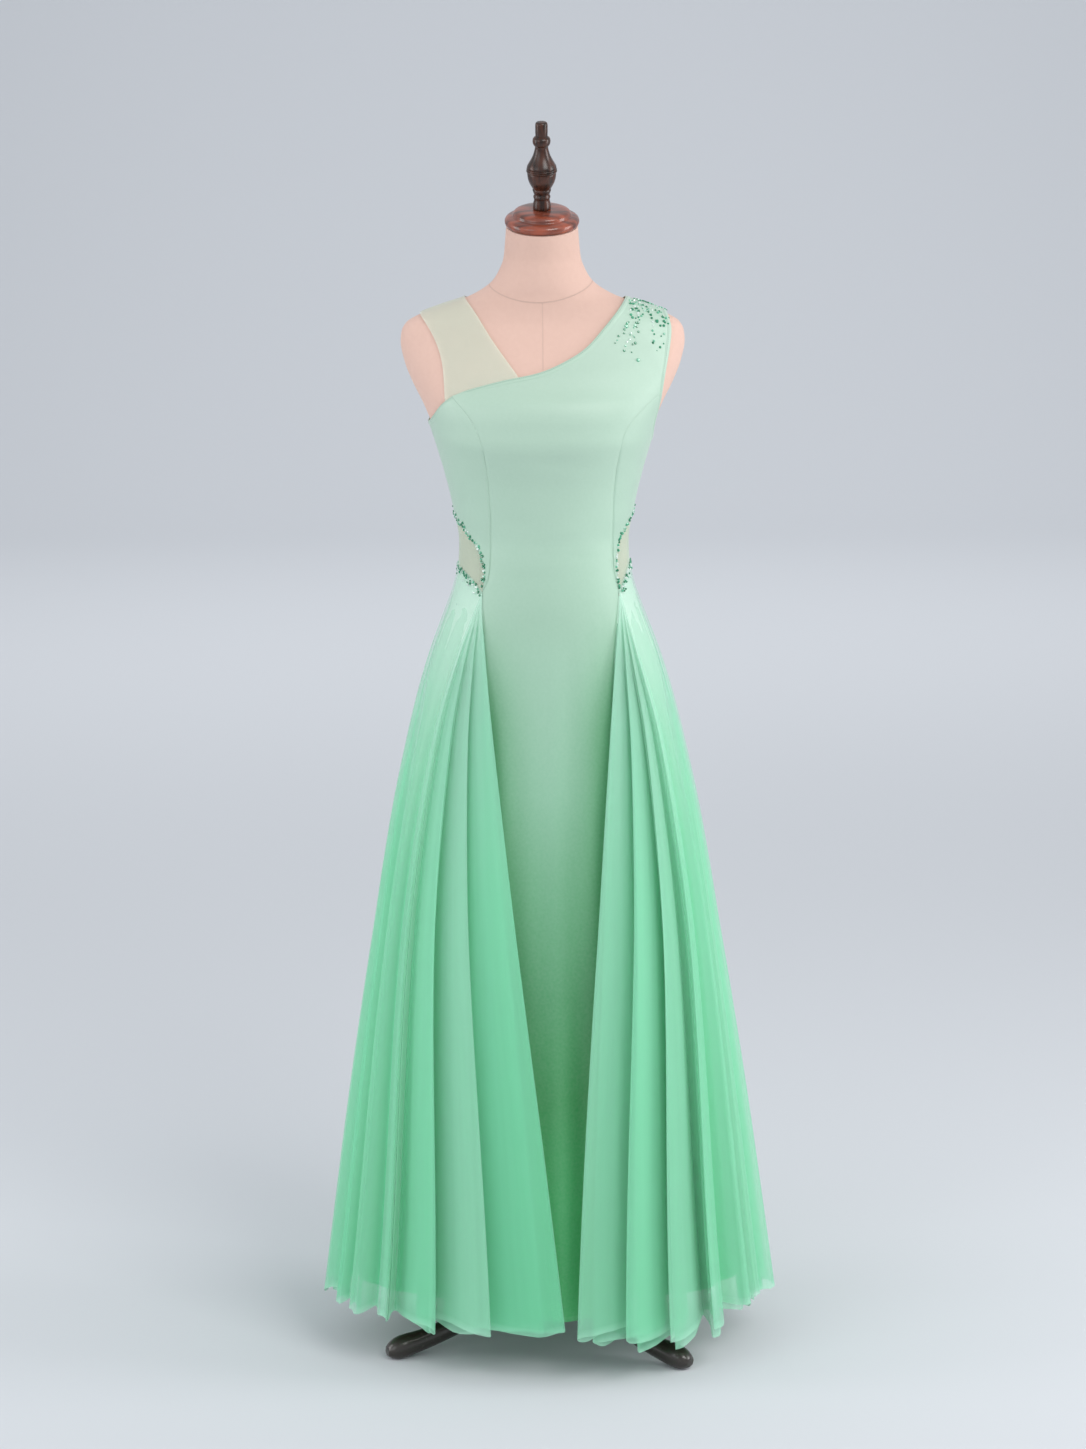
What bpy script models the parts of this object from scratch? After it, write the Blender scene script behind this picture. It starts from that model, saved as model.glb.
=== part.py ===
"""A one-shoulder dance dress worn on a limbless dress form with a turned finial and tripod stand.

Metres, +Z up. -Y is the front and +X is the viewer's right. The origin is on the floor, under the
pole. Angles go round the body from the front, positive towards +X.
"""
import math

import bmesh
import bpy
import numpy as np
from mathutils import Vector

# Form and stand
NECK_TOP = 1.542
NECK_TILT = math.radians(16.0)
TILT_START = 1.485
FORM_BOTTOM = 0.770
FORM_SIDES = 24
TALLEST_FORM_STEP = 0.030
CONTACT_GAP = 0.0003
CAP_BASE = 0.003
CAP_TOP = 0.0193
CAP_SIDES = 24
FINIAL_SIDES = 16
POLE_RADIUS = 0.0125
POLE_SIDES = 16
FLANGE_RADIUS = 0.050
FLANGE_THICKNESS = 0.004
FLANGE_SIDES = 20
HUB_RADIUS = 0.030
HUB_TOP_RADIUS = 0.021
HUB_FOOT_RADIUS = 0.018
HUB_BOTTOM = 0.058
HUB_TOP = 0.112
HUB_SHOULDER = 0.012
HUB_FOOT = 0.008
LEG_SIDES = 12
LEG_DIRECTIONS = {"leg_left": -67.0, "leg_right": 53.0, "leg_back": 173.0}

# Dress
WALL = 0.0010
LIFT = 0.0030
FLAT_SEAM = 0.0002
MESH_SEAM = 0.0006
VALLEY_SEAM = 0.0009
STEEPEST_SLANT = 0.25
PANEL_SINK = 0.0012
SINK_LEVEL = 0.060
WAIST_POINT = 1.060
HEM = 0.078
BLEND_DEPTH = 0.100
BINDING_WIDTH = 0.007
NECKLINE_BINDING_LIFT = 0.0023
ARMHOLE_BINDING_LIFT = 0.0016
BINDING_WALL = 0.0010
INSET_TIP = 0.30
SHOULDER_LOW = 1.403

# Fineness of the curves: steps of a search, points of a cut line's span, points and reach of an arc,
# the turn between two points that give a direction, and the distance at which points become one
SEARCH_STEPS = 40
SPAN_POINTS = 40
ARC_POINTS = 181
ARC_MARGIN = 0.9
SMALL_TURN = 0.01
SAME_POINT = 0.00002
MOST_DRAWN_IN = 0.4

# The form's sections: height, half width, front depth, back depth, centre in y, squareness
FORM_ROWS = (
    (1.542, 0.0475, 0.0475, 0.0475, -0.012, 2.0),
    (1.522, 0.0490, 0.0490, 0.0490, -0.010, 2.0),
    (1.500, 0.0512, 0.0510, 0.0520, -0.008, 2.0),
    (1.480, 0.0590, 0.0560, 0.0580, -0.006, 2.0),
    (1.468, 0.0672, 0.0600, 0.0630, -0.004, 2.0),
    (1.458, 0.0800, 0.0620, 0.0670, -0.002, 2.0),
    (1.447, 0.1010, 0.0635, 0.0700, 0.000, 2.0),
    (1.4365, 0.1330, 0.0650, 0.0730, 0.000, 2.1),
    (1.4266, 0.1600, 0.0670, 0.0760, 0.000, 2.1),
    (1.414, 0.1820, 0.0700, 0.0790, 0.000, 2.2),
    (1.403, 0.1880, 0.0735, 0.0820, 0.000, 2.2),
    (1.389, 0.1895, 0.0785, 0.0860, 0.000, 2.2),
    (1.363, 0.1845, 0.0900, 0.0930, 0.000, 2.3),
    (1.336, 0.1740, 0.1040, 0.0990, 0.000, 2.4),
    (1.309, 0.1605, 0.1180, 0.1040, 0.000, 2.5),
    (1.285, 0.1505, 0.1265, 0.1070, 0.000, 2.5),
    (1.265, 0.1440, 0.1275, 0.1075, 0.000, 2.5),
    (1.240, 0.1365, 0.1205, 0.1060, 0.000, 2.4),
    (1.202, 0.1260, 0.1075, 0.1000, 0.000, 2.3),
    (1.160, 0.1170, 0.0990, 0.0950, 0.000, 2.2),
    (1.121, 0.1115, 0.0940, 0.0910, 0.000, 2.1),
    (1.094, 0.1125, 0.0940, 0.0920, 0.000, 2.1),
    (1.066, 0.1175, 0.0955, 0.0960, 0.000, 2.1),
    (1.039, 0.1260, 0.0985, 0.1030, 0.000, 2.1),
    (1.012, 0.1350, 0.1010, 0.1110, 0.000, 2.2),
    (0.971, 0.1480, 0.1035, 0.1220, 0.000, 2.2),
    (0.930, 0.1575, 0.1050, 0.1300, 0.000, 2.2),
    (0.888, 0.1620, 0.1050, 0.1330, 0.000, 2.2),
    (0.850, 0.1630, 0.1040, 0.1320, 0.000, 2.2),
    (0.810, 0.1590, 0.1000, 0.1270, 0.000, 2.2),
    (0.785, 0.1520, 0.0940, 0.1190, 0.000, 2.2),
    (0.774, 0.1450, 0.0880, 0.1120, 0.000, 2.2),
    (0.770, 0.1380, 0.0820, 0.1050, 0.000, 2.2),
)

# The skirt's valleys, in the same columns: folds rise outwards from these sections
SKIRT_ROWS = (
    (1.060, 0.1225, 0.0985, 0.1000, 0.0, 2.1),
    (1.012, 0.1400, 0.1055, 0.1160, 0.0, 2.2),
    (0.971, 0.1535, 0.1095, 0.1280, 0.0, 2.2),
    (0.930, 0.1650, 0.1125, 0.1370, 0.0, 2.2),
    (0.888, 0.1750, 0.1155, 0.1420, 0.0, 2.2),
    (0.847, 0.1835, 0.1185, 0.1460, 0.0, 2.2),
    (0.764, 0.1990, 0.1245, 0.1530, 0.0, 2.2),
    (0.680, 0.2115, 0.1305, 0.1590, 0.0, 2.2),
    (0.596, 0.2225, 0.1360, 0.1645, 0.0, 2.2),
    (0.512, 0.2340, 0.1415, 0.1690, 0.0, 2.2),
    (0.341, 0.2555, 0.1510, 0.1780, 0.0, 2.2),
    (0.168, 0.2745, 0.1600, 0.1860, 0.0, 2.2),
    (0.060, 0.2860, 0.1655, 0.1910, 0.0, 2.2),
)

# Cut lines seen from the front, as x and height. Each starts at the shoulder or the side
NECKLINE = ((0.1106, None), (0.0850, 1.4130), (0.0594, 1.3850), (0.0331, 1.3680), (-0.0040, 1.3525),
            (-0.0550, 1.3420), (-0.0970, 1.3310), (-0.1200, 1.3220))
NECKLINE_SIDE = ((-0.1200, 1.3220), (-0.1340, 1.3110), (-0.1440, 1.2980), (None, 1.2850))
ARMHOLE = ((0.1650, None), (0.1715, 1.4060), (0.1690, 1.3800), (0.1625, 1.3480), (0.1580, 1.3250))
ARMHOLE_SIDE = ((0.1580, 1.3250), (0.1530, 1.3020), (0.1480, 1.2800), (None, 1.2620))
PRINCESS_LEFT = ((-0.1200, 1.3220), (-0.0970, 1.2960), (-0.0820, 1.2640), (-0.0765, 1.2350),
                 (-0.0730, 1.2000), (-0.0710, 1.1560), (-0.0715, 1.1160), (-0.0745, 1.0800),
                 (-0.0832, WAIST_POINT))
PRINCESS_RIGHT = ((0.1580, 1.3250), (0.1310, 1.3040), (0.1080, 1.2760), (0.0995, 1.2400),
                  (0.0940, 1.1970), (0.0925, 1.1430), (0.0925, 1.1150), (0.0940, 1.0850),
                  (0.1008, WAIST_POINT))
CUTOUT_TOP_LEFT = ((-0.0832, WAIST_POINT), (-0.0800, 1.0780), (-0.0812, 1.0960), (-0.0868, 1.1120),
                   (-0.0950, 1.1260), (-0.1060, 1.1400), (None, 1.1540))
CUTOUT_BASE_LEFT = ((-0.0832, WAIST_POINT), (-0.0915, 1.0700), (-0.1010, 1.0800), (None, 1.0900))
CUTOUT_TOP_RIGHT = ((0.1008, WAIST_POINT), (0.0985, 1.0760), (0.0975, 1.0950), (0.0985, 1.1130),
                    (0.1030, 1.1290), (0.1100, 1.1430), (None, 1.1570))
CUTOUT_BASE_RIGHT = ((0.1008, WAIST_POINT), (0.1060, 1.0700), (0.1110, 1.0810), (None, 1.0930))
YOKE_ARM = ((-0.1640, None), (-0.1520, 1.4090), (-0.1405, 1.3860), (-0.1340, 1.3630),
            (-0.1315, 1.3390), (-0.1300, 1.3144))
YOKE_NECK = ((-0.1040, None), (-0.0890, 1.4290), (-0.0705, 1.3990), (-0.0520, 1.3730),
             (-0.0325, 1.3472))

# Skirt seams: height, then x of the panel seam and of the side seam, on the left and on the right
SKIRT_SEAMS = (
    (WAIST_POINT, -0.0832, -0.0832, 0.1008, 0.1008),
    (0.980, -0.0835, -0.1160, 0.0960, 0.1250),
    (0.870, -0.0840, -0.1500, 0.0930, 0.1560),
    (0.600, -0.0840, -0.1950, 0.0960, 0.1970),
    (HEM, -0.0850, -0.2350, 0.1150, 0.2350),
)

# Skirt folds: share of the panel, height, lean towards the front or back middle, dip of the hem
FOLDS_FRONT_LEFT = ((0.36, 0.050, 0.135, 0.002), (0.24, 0.055, 0.092, 0.000),
                    (0.21, 0.050, 0.060, 0.002), (0.19, 0.038, 0.022, -0.002))
FOLDS_FRONT_RIGHT = ((0.36, 0.062, 0.104, 0.004), (0.22, 0.076, 0.086, 0.008),
                     (0.20, 0.074, 0.062, 0.012), (0.22, 0.056, 0.030, 0.010))
FOLDS_SIDE_LEFT = ((0.15, 0.026, 0.008, 0.000), (0.18, 0.030, -0.006, 0.003), (0.16, 0.024, 0.004, 0.000),
                   (0.19, 0.027, -0.004, 0.004), (0.15, 0.022, 0.006, 0.000), (0.17, 0.027, 0.000, 0.002))
FOLDS_SIDE_RIGHT = ((0.17, 0.027, 0.008, 0.002), (0.15, 0.022, -0.004, 0.000), (0.19, 0.028, 0.004, 0.004),
                    (0.16, 0.024, 0.006, 0.000), (0.18, 0.027, -0.006, 0.003), (0.15, 0.025, 0.004, 0.000))
FOLDS_BACK_LEFT = ((0.36, 0.030, 0.040, 0.002), (0.34, 0.034, 0.026, 0.000), (0.30, 0.028, 0.010, 0.002))
FOLDS_BACK_RIGHT = ((0.34, 0.032, 0.044, 0.002), (0.32, 0.030, 0.022, 0.003), (0.34, 0.033, 0.012, 0.000))

# Places round a fold, as parts of a turn, closer together where the crest turns
FOLD_PLACES = (0.0, 0.16, 0.30, 0.40, 0.50, 0.60, 0.70, 0.84)
SOFT_FOLD_PLACES = (0.0, 0.24, 0.42, 0.58, 0.76)
FOLD_START = 0.08
RISE_GROWTH = 0.75
LEAN_GROWTH = 0.95
SKIRT_LEVELS = (0.0, 0.012, 0.06, 0.13, 0.23, 0.37, 0.54, 0.76, 1.0)

STRAP_ROWS = 14
BODICE_ROWS = 11
PANEL_COLUMNS = 12
SIDE_COLUMNS = 6
YOKE_ROWS = 7
INSET_ROWS = 3

# Turned pieces, as radius and height from the top down
CAP_PROFILE = ((0.0, 0.0193), (0.0150, 0.0193), (0.0240, 0.0189), (0.0310, 0.0181), (0.0352, 0.0169),
               (0.0372, 0.0151), (0.0378, 0.0131), (0.0385, 0.0113), (0.0405, 0.0101),
               (0.0435, 0.0093), (0.0465, 0.0079), (0.0487, 0.0057), (0.0495, 0.0031),
               (0.0490, 0.0003), (0.0475, -0.0021), (0.0450, -0.0030), (0.0, -0.0030))
FINIAL_PROFILE = ((0.0, 0.1180), (0.0062, 0.1176), (0.0080, 0.1155), (0.0082, 0.1010), (0.0080, 0.0995),
                  (0.0104, 0.0969), (0.0118, 0.0935), (0.0112, 0.0890), (0.0088, 0.0850),
                  (0.0090, 0.0813), (0.0120, 0.0715), (0.0175, 0.0617), (0.0195, 0.0575),
                  (0.0189, 0.0556), (0.0203, 0.0538), (0.0204, 0.0519), (0.0190, 0.0498),
                  (0.0190, 0.0470), (0.0180, 0.0401), (0.0150, 0.0330), (0.0123, 0.0284),
                  (0.0118, 0.0250), (0.0104, 0.0206), (0.0112, 0.0172), (0.0104, 0.0130),
                  (0.0113, 0.0089), (0.0119, 0.0019), (0.0114, 0.0), (0.0, 0.0))

# Stand legs: reach from the pole, height of the middle, half height, half width
LEG_ROWS = (
    (0.0303, 0.085, 0.020, 0.0110), (0.060, 0.074, 0.019, 0.0120), (0.095, 0.055, 0.018, 0.0120),
    (0.130, 0.040, 0.016, 0.0120), (0.165, 0.0275, 0.0155, 0.0125), (0.195, 0.0200, 0.0155, 0.0145),
    (0.218, 0.0160, 0.0185, 0.0180), (0.233, 0.0135, 0.0150, 0.0155), (0.2415, 0.0120, 0.0070, 0.0085),
)

# Colour, roughness and metallic value of each finish
FINISHES = {
    "satin": ((0.50, 0.78, 0.62), 0.38, 0.0),
    "tulle": ((0.28, 0.70, 0.47), 0.75, 0.0),
    "nude_mesh": ((0.66, 0.68, 0.54), 0.80, 0.0),
    "form_linen": ((0.85, 0.64, 0.56), 0.85, 0.0),
    "cap_wood": ((0.28, 0.09, 0.05), 0.30, 0.0),
    "finial_wood": ((0.035, 0.018, 0.012), 0.22, 0.0),
    "stand_lacquer": ((0.020, 0.018, 0.014), 0.30, 0.0),
}


def monotone_slopes(places, values):
    """Slopes of a smooth curve that never overshoots its points."""
    steps = np.diff(places)
    rates = np.diff(values) / steps
    slopes = np.zeros(len(places))
    slopes[0], slopes[-1] = rates[0], rates[-1]
    for i in range(1, len(places) - 1):
        if rates[i - 1] * rates[i] > 0:
            first = 2 * steps[i] + steps[i - 1]
            second = steps[i] + 2 * steps[i - 1]
            slopes[i] = (first + second) / (first / rates[i - 1] + second / rates[i])
    return slopes


class Profile:
    """Smooth columns over height, from a table whose first column is the height."""

    def __init__(self, rows):
        table = np.array(sorted(rows))
        self.heights = table[:, 0]
        self.values = table[:, 1:]
        self.slopes = np.array([monotone_slopes(self.heights, column) for column in self.values.T]).T

    def find(self, height):
        height = min(max(height, self.heights[0]), self.heights[-1])
        i = int(min(max(np.searchsorted(self.heights, height) - 1, 0), len(self.heights) - 2))
        step = self.heights[i + 1] - self.heights[i]
        return i, step, (height - self.heights[i]) / step

    def at(self, height):
        i, step, t = self.find(height)
        return ((2 * t**3 - 3 * t**2 + 1) * self.values[i] + (t**3 - 2 * t**2 + t) * step * self.slopes[i]
                + (3 * t**2 - 2 * t**3) * self.values[i + 1] + (t**3 - t**2) * step * self.slopes[i + 1])

    def slope(self, height):
        i, step, t = self.find(height)
        return ((6 * t**2 - 6 * t) / step * (self.values[i] - self.values[i + 1])
                + (3 * t**2 - 4 * t + 1) * self.slopes[i] + (3 * t**2 - 2 * t) * self.slopes[i + 1])


FORM = Profile(FORM_ROWS)
SKIRT = Profile(SKIRT_ROWS)
SEAMS = Profile(SKIRT_SEAMS)


def section_point(profile, height, angle):
    """Point of a rounded section at an angle from the front."""
    half, front, back, centre, power = profile.at(height)
    across, ahead = math.sin(angle), math.cos(angle)
    scale = (abs(across) ** power + abs(ahead) ** power) ** (-1 / power)
    depth = front if ahead > 0 else back
    return np.array((half * scale * across, centre - depth * scale * ahead, height))


def form_normal(point):
    """Outward direction of the form's surface."""
    x, y, z = point
    half, front, back, centre, power = FORM.at(z)
    half_slope, front_slope, back_slope, centre_slope, _ = FORM.slope(z)
    side = y - centre
    depth, depth_slope = (front, front_slope) if side < 0 else (back, back_slope)
    along_x = math.copysign(abs(x) ** (power - 1) / half**power, x)
    along_y = math.copysign(abs(side) ** (power - 1) / depth**power, side)
    along_z = -(abs(x) ** power / half ** (power + 1) * half_slope
                + abs(side) ** power / depth ** (power + 1) * depth_slope) - along_y * centre_slope
    normal = np.array((along_x, along_y, along_z))
    return normal / np.linalg.norm(normal)


def on_form(angle, height, lift):
    """Point held off the form by a lift."""
    point = section_point(FORM, height, angle)
    return point + form_normal(point) * lift


def eased(value):
    value = min(max(value, 0.0), 1.0)
    return value * value * (3 - 2 * value)


def skirt_share(height):
    """How far a height has left the form for the hanging skirt, from 0 to 1."""
    return eased((WAIST_POINT - height) / BLEND_DEPTH)


def dress_point(angle, height, lift=LIFT):
    """Point of the dress without its folds."""
    share = skirt_share(height)
    worn = on_form(angle, height, lift)
    if share == 0:
        return worn
    return worn * (1 - share) + section_point(SKIRT, height, angle) * share


def reach(height):
    """Half width of the dress at a height."""
    share = skirt_share(height)
    half, half_slope = FORM.at(height)[0], FORM.slope(height)[0]
    worn = half + LIFT / math.hypot(1.0, half_slope)
    return worn * (1 - share) + SKIRT.at(height)[0] * share


def squareness(height):
    share = skirt_share(height)
    return FORM.at(height)[4] * (1 - share) + SKIRT.at(height)[4] * share


def ridge(x):
    """Height of the shoulder line at a distance from the middle."""
    low, high = SHOULDER_LOW, NECK_TOP
    for _ in range(SEARCH_STEPS):
        middle = (low + high) / 2
        low, high = (middle, high) if reach(middle) > abs(x) else (low, middle)
    return (low + high) / 2


def angle_at(x, height):
    """Angle of the point of the dress's front that lies at x."""
    across = min(abs(x) / reach(height), 1.0)
    power = squareness(height)
    ahead = max(1 - across**power, 0.0) ** (1 / power)
    return math.copysign(math.atan2(across, ahead), x)


def front_or_back(angle, back):
    """The same place on the back."""
    return math.pi - angle if back else angle


def cut_line(points):
    """A cut line with its shoulder height and its side place filled in."""
    sign = math.copysign(1, sum(x for x, _ in points if x is not None))
    line = []
    for x, height in points:
        if height is None:
            height = ridge(x)
        if x is None:
            x = sign * reach(height)
        line.append((x, height))
    return np.array(line)


def cut_path(points, pieces):
    """Angles and heights that divide a smooth cut line into equal lengths on the dress."""
    points = cut_line(points)
    padded = np.vstack((2 * points[0] - points[1], points, 2 * points[-1] - points[-2]))
    fine = []
    for i in range(len(points) - 1):
        a, b, c, d = padded[i:i + 4]
        for t in np.linspace(0, 1, SPAN_POINTS, endpoint=False):
            fine.append(0.5 * (2 * b + (c - a) * t + (2 * a - 5 * b + 4 * c - d) * t**2
                               + (3 * b - a - 3 * c + d) * t**3))
    fine.append(points[-1])
    turned_to = np.array([(angle_at(x, height), height) for x, height in fine])
    on_dress = np.array([dress_point(angle, height) for angle, height in turned_to])
    lengths = np.concatenate(([0], np.cumsum(np.linalg.norm(np.diff(on_dress, axis=0), axis=1))))
    places = np.linspace(0, lengths[-1], pieces + 1)
    return np.stack([np.interp(places, lengths, column) for column in turned_to.T], axis=1)


def coons(left, right, top, bottom):
    """Grid between four edges that share their corners. Left and right run down, top and bottom across."""
    rows, columns = len(left), len(top)
    grid = np.zeros((rows, columns, 2))
    for i in range(rows):
        s = i / (rows - 1)
        for j in range(columns):
            t = j / (columns - 1)
            corners = ((1 - s) * (1 - t) * top[0] + (1 - s) * t * top[-1]
                       + s * (1 - t) * bottom[0] + s * t * bottom[-1])
            grid[i, j] = (1 - t) * left[i] + t * right[i] + (1 - s) * top[j] + s * bottom[j] - corners
    return grid


def step_inward(grid, gap_rows, gap_columns):
    """The grid with its edges drawn in, which leaves the seams' gaps."""
    grid = np.array(grid)
    moved = grid.copy()

    def draw(edge, inner, gap):
        run = inner - edge
        length = np.maximum(np.linalg.norm(run, axis=-1, keepdims=True), 1e-9)
        along = np.gradient(edge, axis=0)
        along /= np.maximum(np.linalg.norm(along, axis=-1, keepdims=True), 1e-9)
        slant = np.linalg.norm(np.cross(run / length, along), axis=-1, keepdims=True)
        return run / length * np.minimum(gap / np.maximum(slant, STEEPEST_SLANT), MOST_DRAWN_IN * length)

    moved[:, 0] += draw(grid[:, 0], grid[:, 1], gap_columns)
    moved[:, -1] += draw(grid[:, -1], grid[:, -2], gap_columns)
    moved[0] += draw(grid[0], grid[1], gap_rows)
    moved[-1] += draw(grid[-1], grid[-2], gap_rows)
    return moved


def finish(name):
    material = bpy.data.materials.get(name) or bpy.data.materials.new(name)
    material.use_nodes = True
    colour, roughness, metallic = FINISHES[name]
    shader = material.node_tree.nodes["Principled BSDF"]
    shader.inputs["Base Color"].default_value = (*colour, 1.0)
    shader.inputs["Roughness"].default_value = roughness
    shader.inputs["Metallic"].default_value = metallic
    material.diffuse_color = (*colour, 1.0)
    return material


def add_object(name, mesh, finish_name, collection):
    thing = bpy.data.objects.new(name, mesh)
    mesh.materials.append(finish(finish_name))
    mesh.shade_smooth()
    collection.objects.link(thing)
    return thing


def grid_mesh(name, grid, closed=False):
    """Triangles over a grid of points, facing outwards when its rows run down and its columns round."""
    rows, columns = len(grid), len(grid[0])
    shape = bmesh.new()
    verts = [[shape.verts.new(tuple(point)) for point in row] for row in grid]
    for i in range(rows - 1):
        for j in range(columns if closed else columns - 1):
            k = (j + 1) % columns
            a, b, c, d = verts[i][j], verts[i + 1][j], verts[i + 1][k], verts[i][k]
            if (a.co - c.co).length < (b.co - d.co).length:
                shape.faces.new((a, b, c))
                shape.faces.new((a, c, d))
            else:
                shape.faces.new((a, b, d))
                shape.faces.new((b, c, d))
    bmesh.ops.remove_doubles(shape, verts=shape.verts, dist=SAME_POINT)
    mesh = bpy.data.meshes.new(name)
    shape.to_mesh(mesh)
    shape.free()
    return mesh


def cloth(name, grid, finish_name, collection, wall=WALL, closed=False):
    """A cloth wall over a grid."""
    thing = add_object(name, grid_mesh(name, grid, closed), finish_name, collection)
    thickness = thing.modifiers.new("wall", "SOLIDIFY")
    thickness.thickness = wall
    thickness.offset = 0.0
    return thing


def turned(name, profile, steps, finish_name, collection):
    """A turned piece from its radius and height, top down."""
    mesh = bpy.data.meshes.new(name)
    mesh.from_pydata([(radius, 0.0, height) for radius, height in profile],
                     [(i, i + 1) for i in range(len(profile) - 1)], [])
    thing = add_object(name, mesh, finish_name, collection)
    screw = thing.modifiers.new("turning", "SCREW")
    screw.steps = steps
    screw.render_steps = steps
    screw.use_merge_vertices = True
    screw.merge_threshold = SAME_POINT
    screw.use_smooth_shade = True
    return thing


def make_form(collection):
    """The padded torso, whole from its neck to its flat base."""
    heights = [row[0] for row in FORM_ROWS]
    spread = []
    for upper, lower in zip(heights, heights[1:]):
        spread.append(upper)
        if upper - lower > TALLEST_FORM_STEP:
            spread.append((upper + lower) / 2)
    spread.append(heights[-1])
    rings = []
    for height in spread:
        tilt = math.tan(NECK_TILT) * eased((height - TILT_START) / (NECK_TOP - TILT_START))
        centre = FORM.at(height)[3]
        ring = [section_point(FORM, height, 2 * math.pi * i / FORM_SIDES) for i in range(FORM_SIDES)]
        rings.append([(x, y, z + tilt * (y - centre)) for x, y, z in ring])
    mesh = grid_mesh("form_torso", rings, closed=True)
    shape = bmesh.new()
    shape.from_mesh(mesh)
    bmesh.ops.holes_fill(shape, edges=shape.edges, sides=FORM_SIDES + 1)
    bmesh.ops.recalc_face_normals(shape, faces=shape.faces)
    shape.to_mesh(mesh)
    shape.free()
    return add_object("form_torso", mesh, "form_linen", collection)


def make_cap_and_finial(collection):
    """The turned cap on the slanted neck, and the finial on it, leaning forward together."""
    axis = Vector((0.0, -math.sin(NECK_TILT), math.cos(NECK_TILT)))
    neck = Vector((0.0, FORM_ROWS[0][4], NECK_TOP))
    cap = turned("neck_cap", CAP_PROFILE, CAP_SIDES, "cap_wood", collection)
    cap.location = neck + axis * (CONTACT_GAP + CAP_BASE)
    finial = turned("finial", FINIAL_PROFILE, FINIAL_SIDES, "finial_wood", collection)
    finial.location = cap.location + axis * (CAP_TOP + CONTACT_GAP)
    for piece in (cap, finial):
        piece.rotation_euler = (NECK_TILT, 0.0, 0.0)


def make_pole(collection):
    """The flange under the torso, the pole and the hub that the legs meet."""
    flange_bottom = FORM_BOTTOM - CONTACT_GAP - FLANGE_THICKNESS
    flange = ((0.0, flange_bottom + FLANGE_THICKNESS), (FLANGE_RADIUS, flange_bottom + FLANGE_THICKNESS),
              (FLANGE_RADIUS, flange_bottom), (0.0, flange_bottom))
    turned("pole_flange", flange, FLANGE_SIDES, "stand_lacquer", collection)
    top, bottom = flange_bottom - CONTACT_GAP, HUB_TOP + CONTACT_GAP
    turned("stand_pole", ((0.0, top), (POLE_RADIUS, top), (POLE_RADIUS, bottom), (0.0, bottom)),
           POLE_SIDES, "stand_lacquer", collection)
    hub = ((0.0, HUB_TOP), (HUB_TOP_RADIUS, HUB_TOP), (HUB_RADIUS, HUB_TOP - HUB_SHOULDER),
           (HUB_RADIUS, HUB_BOTTOM), (HUB_FOOT_RADIUS, HUB_BOTTOM - HUB_FOOT), (0.0, HUB_BOTTOM - HUB_FOOT))
    turned("stand_hub", hub, FLANGE_SIDES, "stand_lacquer", collection)


def make_leg(name, direction, collection):
    """One low curved leg that ends in a pad, flat where it meets the floor."""
    rings = []
    for reach_out, middle, half_height, half_width in LEG_ROWS:
        ring = []
        for i in range(LEG_SIDES):
            turn = 2 * math.pi * (i + 0.5) / LEG_SIDES
            height = max(middle + half_height * math.cos(turn), 0.0)
            ring.append((half_width * math.sin(turn), -reach_out, height))
        rings.append(ring)
    shape = bmesh.new()
    loops = [[shape.verts.new(point) for point in ring] for ring in rings]
    for first, second in zip(loops, loops[1:]):
        for i in range(LEG_SIDES):
            j = (i + 1) % LEG_SIDES
            shape.faces.new((first[i], first[j], second[j], second[i]))
    shape.faces.new(loops[0])
    shape.faces.new(loops[-1])
    bmesh.ops.remove_doubles(shape, verts=shape.verts, dist=SAME_POINT)
    bmesh.ops.recalc_face_normals(shape, faces=shape.faces)
    mesh = bpy.data.meshes.new(name)
    shape.to_mesh(mesh)
    shape.free()
    leg = add_object(name, mesh, "stand_lacquer", collection)
    leg.rotation_euler = (0.0, 0.0, math.radians(direction))
    return leg


def fold_wave(folds, places):
    """Columns of a folded edge: place along it, rise, sideways lean and hem dip, each with its fold."""
    columns = []
    start = 0.0
    for share, height, lean, dip in folds:
        for place in places:
            crest = (1 - math.cos(2 * math.pi * place)) / 2
            columns.append((start + share * place, height * crest, lean * crest, dip * crest))
        start += share
    columns.append((1.0, 0.0, 0.0, 0.0))
    return columns


def arc_of(height, first, last):
    """Angles and lengths along the skirt's section between two angles."""
    angles = np.linspace(first - ARC_MARGIN, last + ARC_MARGIN, ARC_POINTS)
    points = np.array([dress_point(angle, height)[:2] for angle in angles])
    lengths = np.concatenate(([0], np.cumsum(np.linalg.norm(np.diff(points, axis=0), axis=1))))
    return angles, lengths


def folded_panel(folds, places, edges, top_height, lean_sign, levels):
    """Rows of points of a skirt piece whose folds grow from nothing to their full size at the hem.

    edges gives the two seam angles at a height, lower first. lean_sign is the way its folds lean.
    """
    wave = fold_wave(folds, places)
    grid = []
    for level in levels:
        growth = max(level - FOLD_START, 0.0) / (1 - FOLD_START)
        base_height = WAIST_POINT + (HEM - WAIST_POINT) * level
        first, last = edges(base_height)
        angles, lengths = arc_of(base_height, first, last)
        begin, end = np.interp((first, last), angles, lengths)
        row = []
        for place, rise, lean, dip in wave:
            level_place = begin + (end - begin) * place
            top = top_height(float(np.interp(level_place, lengths, angles)))
            height = top + (HEM - dip - top) * level
            along = level_place + lean_sign * lean * growth**LEAN_GROWTH
            angle = float(np.interp(along, lengths, angles))
            point = dress_point(angle, height)
            ahead = dress_point(angle + SMALL_TURN, height) - dress_point(angle - SMALL_TURN, height)
            outward = np.array((ahead[1], -ahead[0], 0.0))
            outward /= np.linalg.norm(outward)
            row.append(point + outward * rise * growth**RISE_GROWTH)
        grid.append(row)
    return grid


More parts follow.
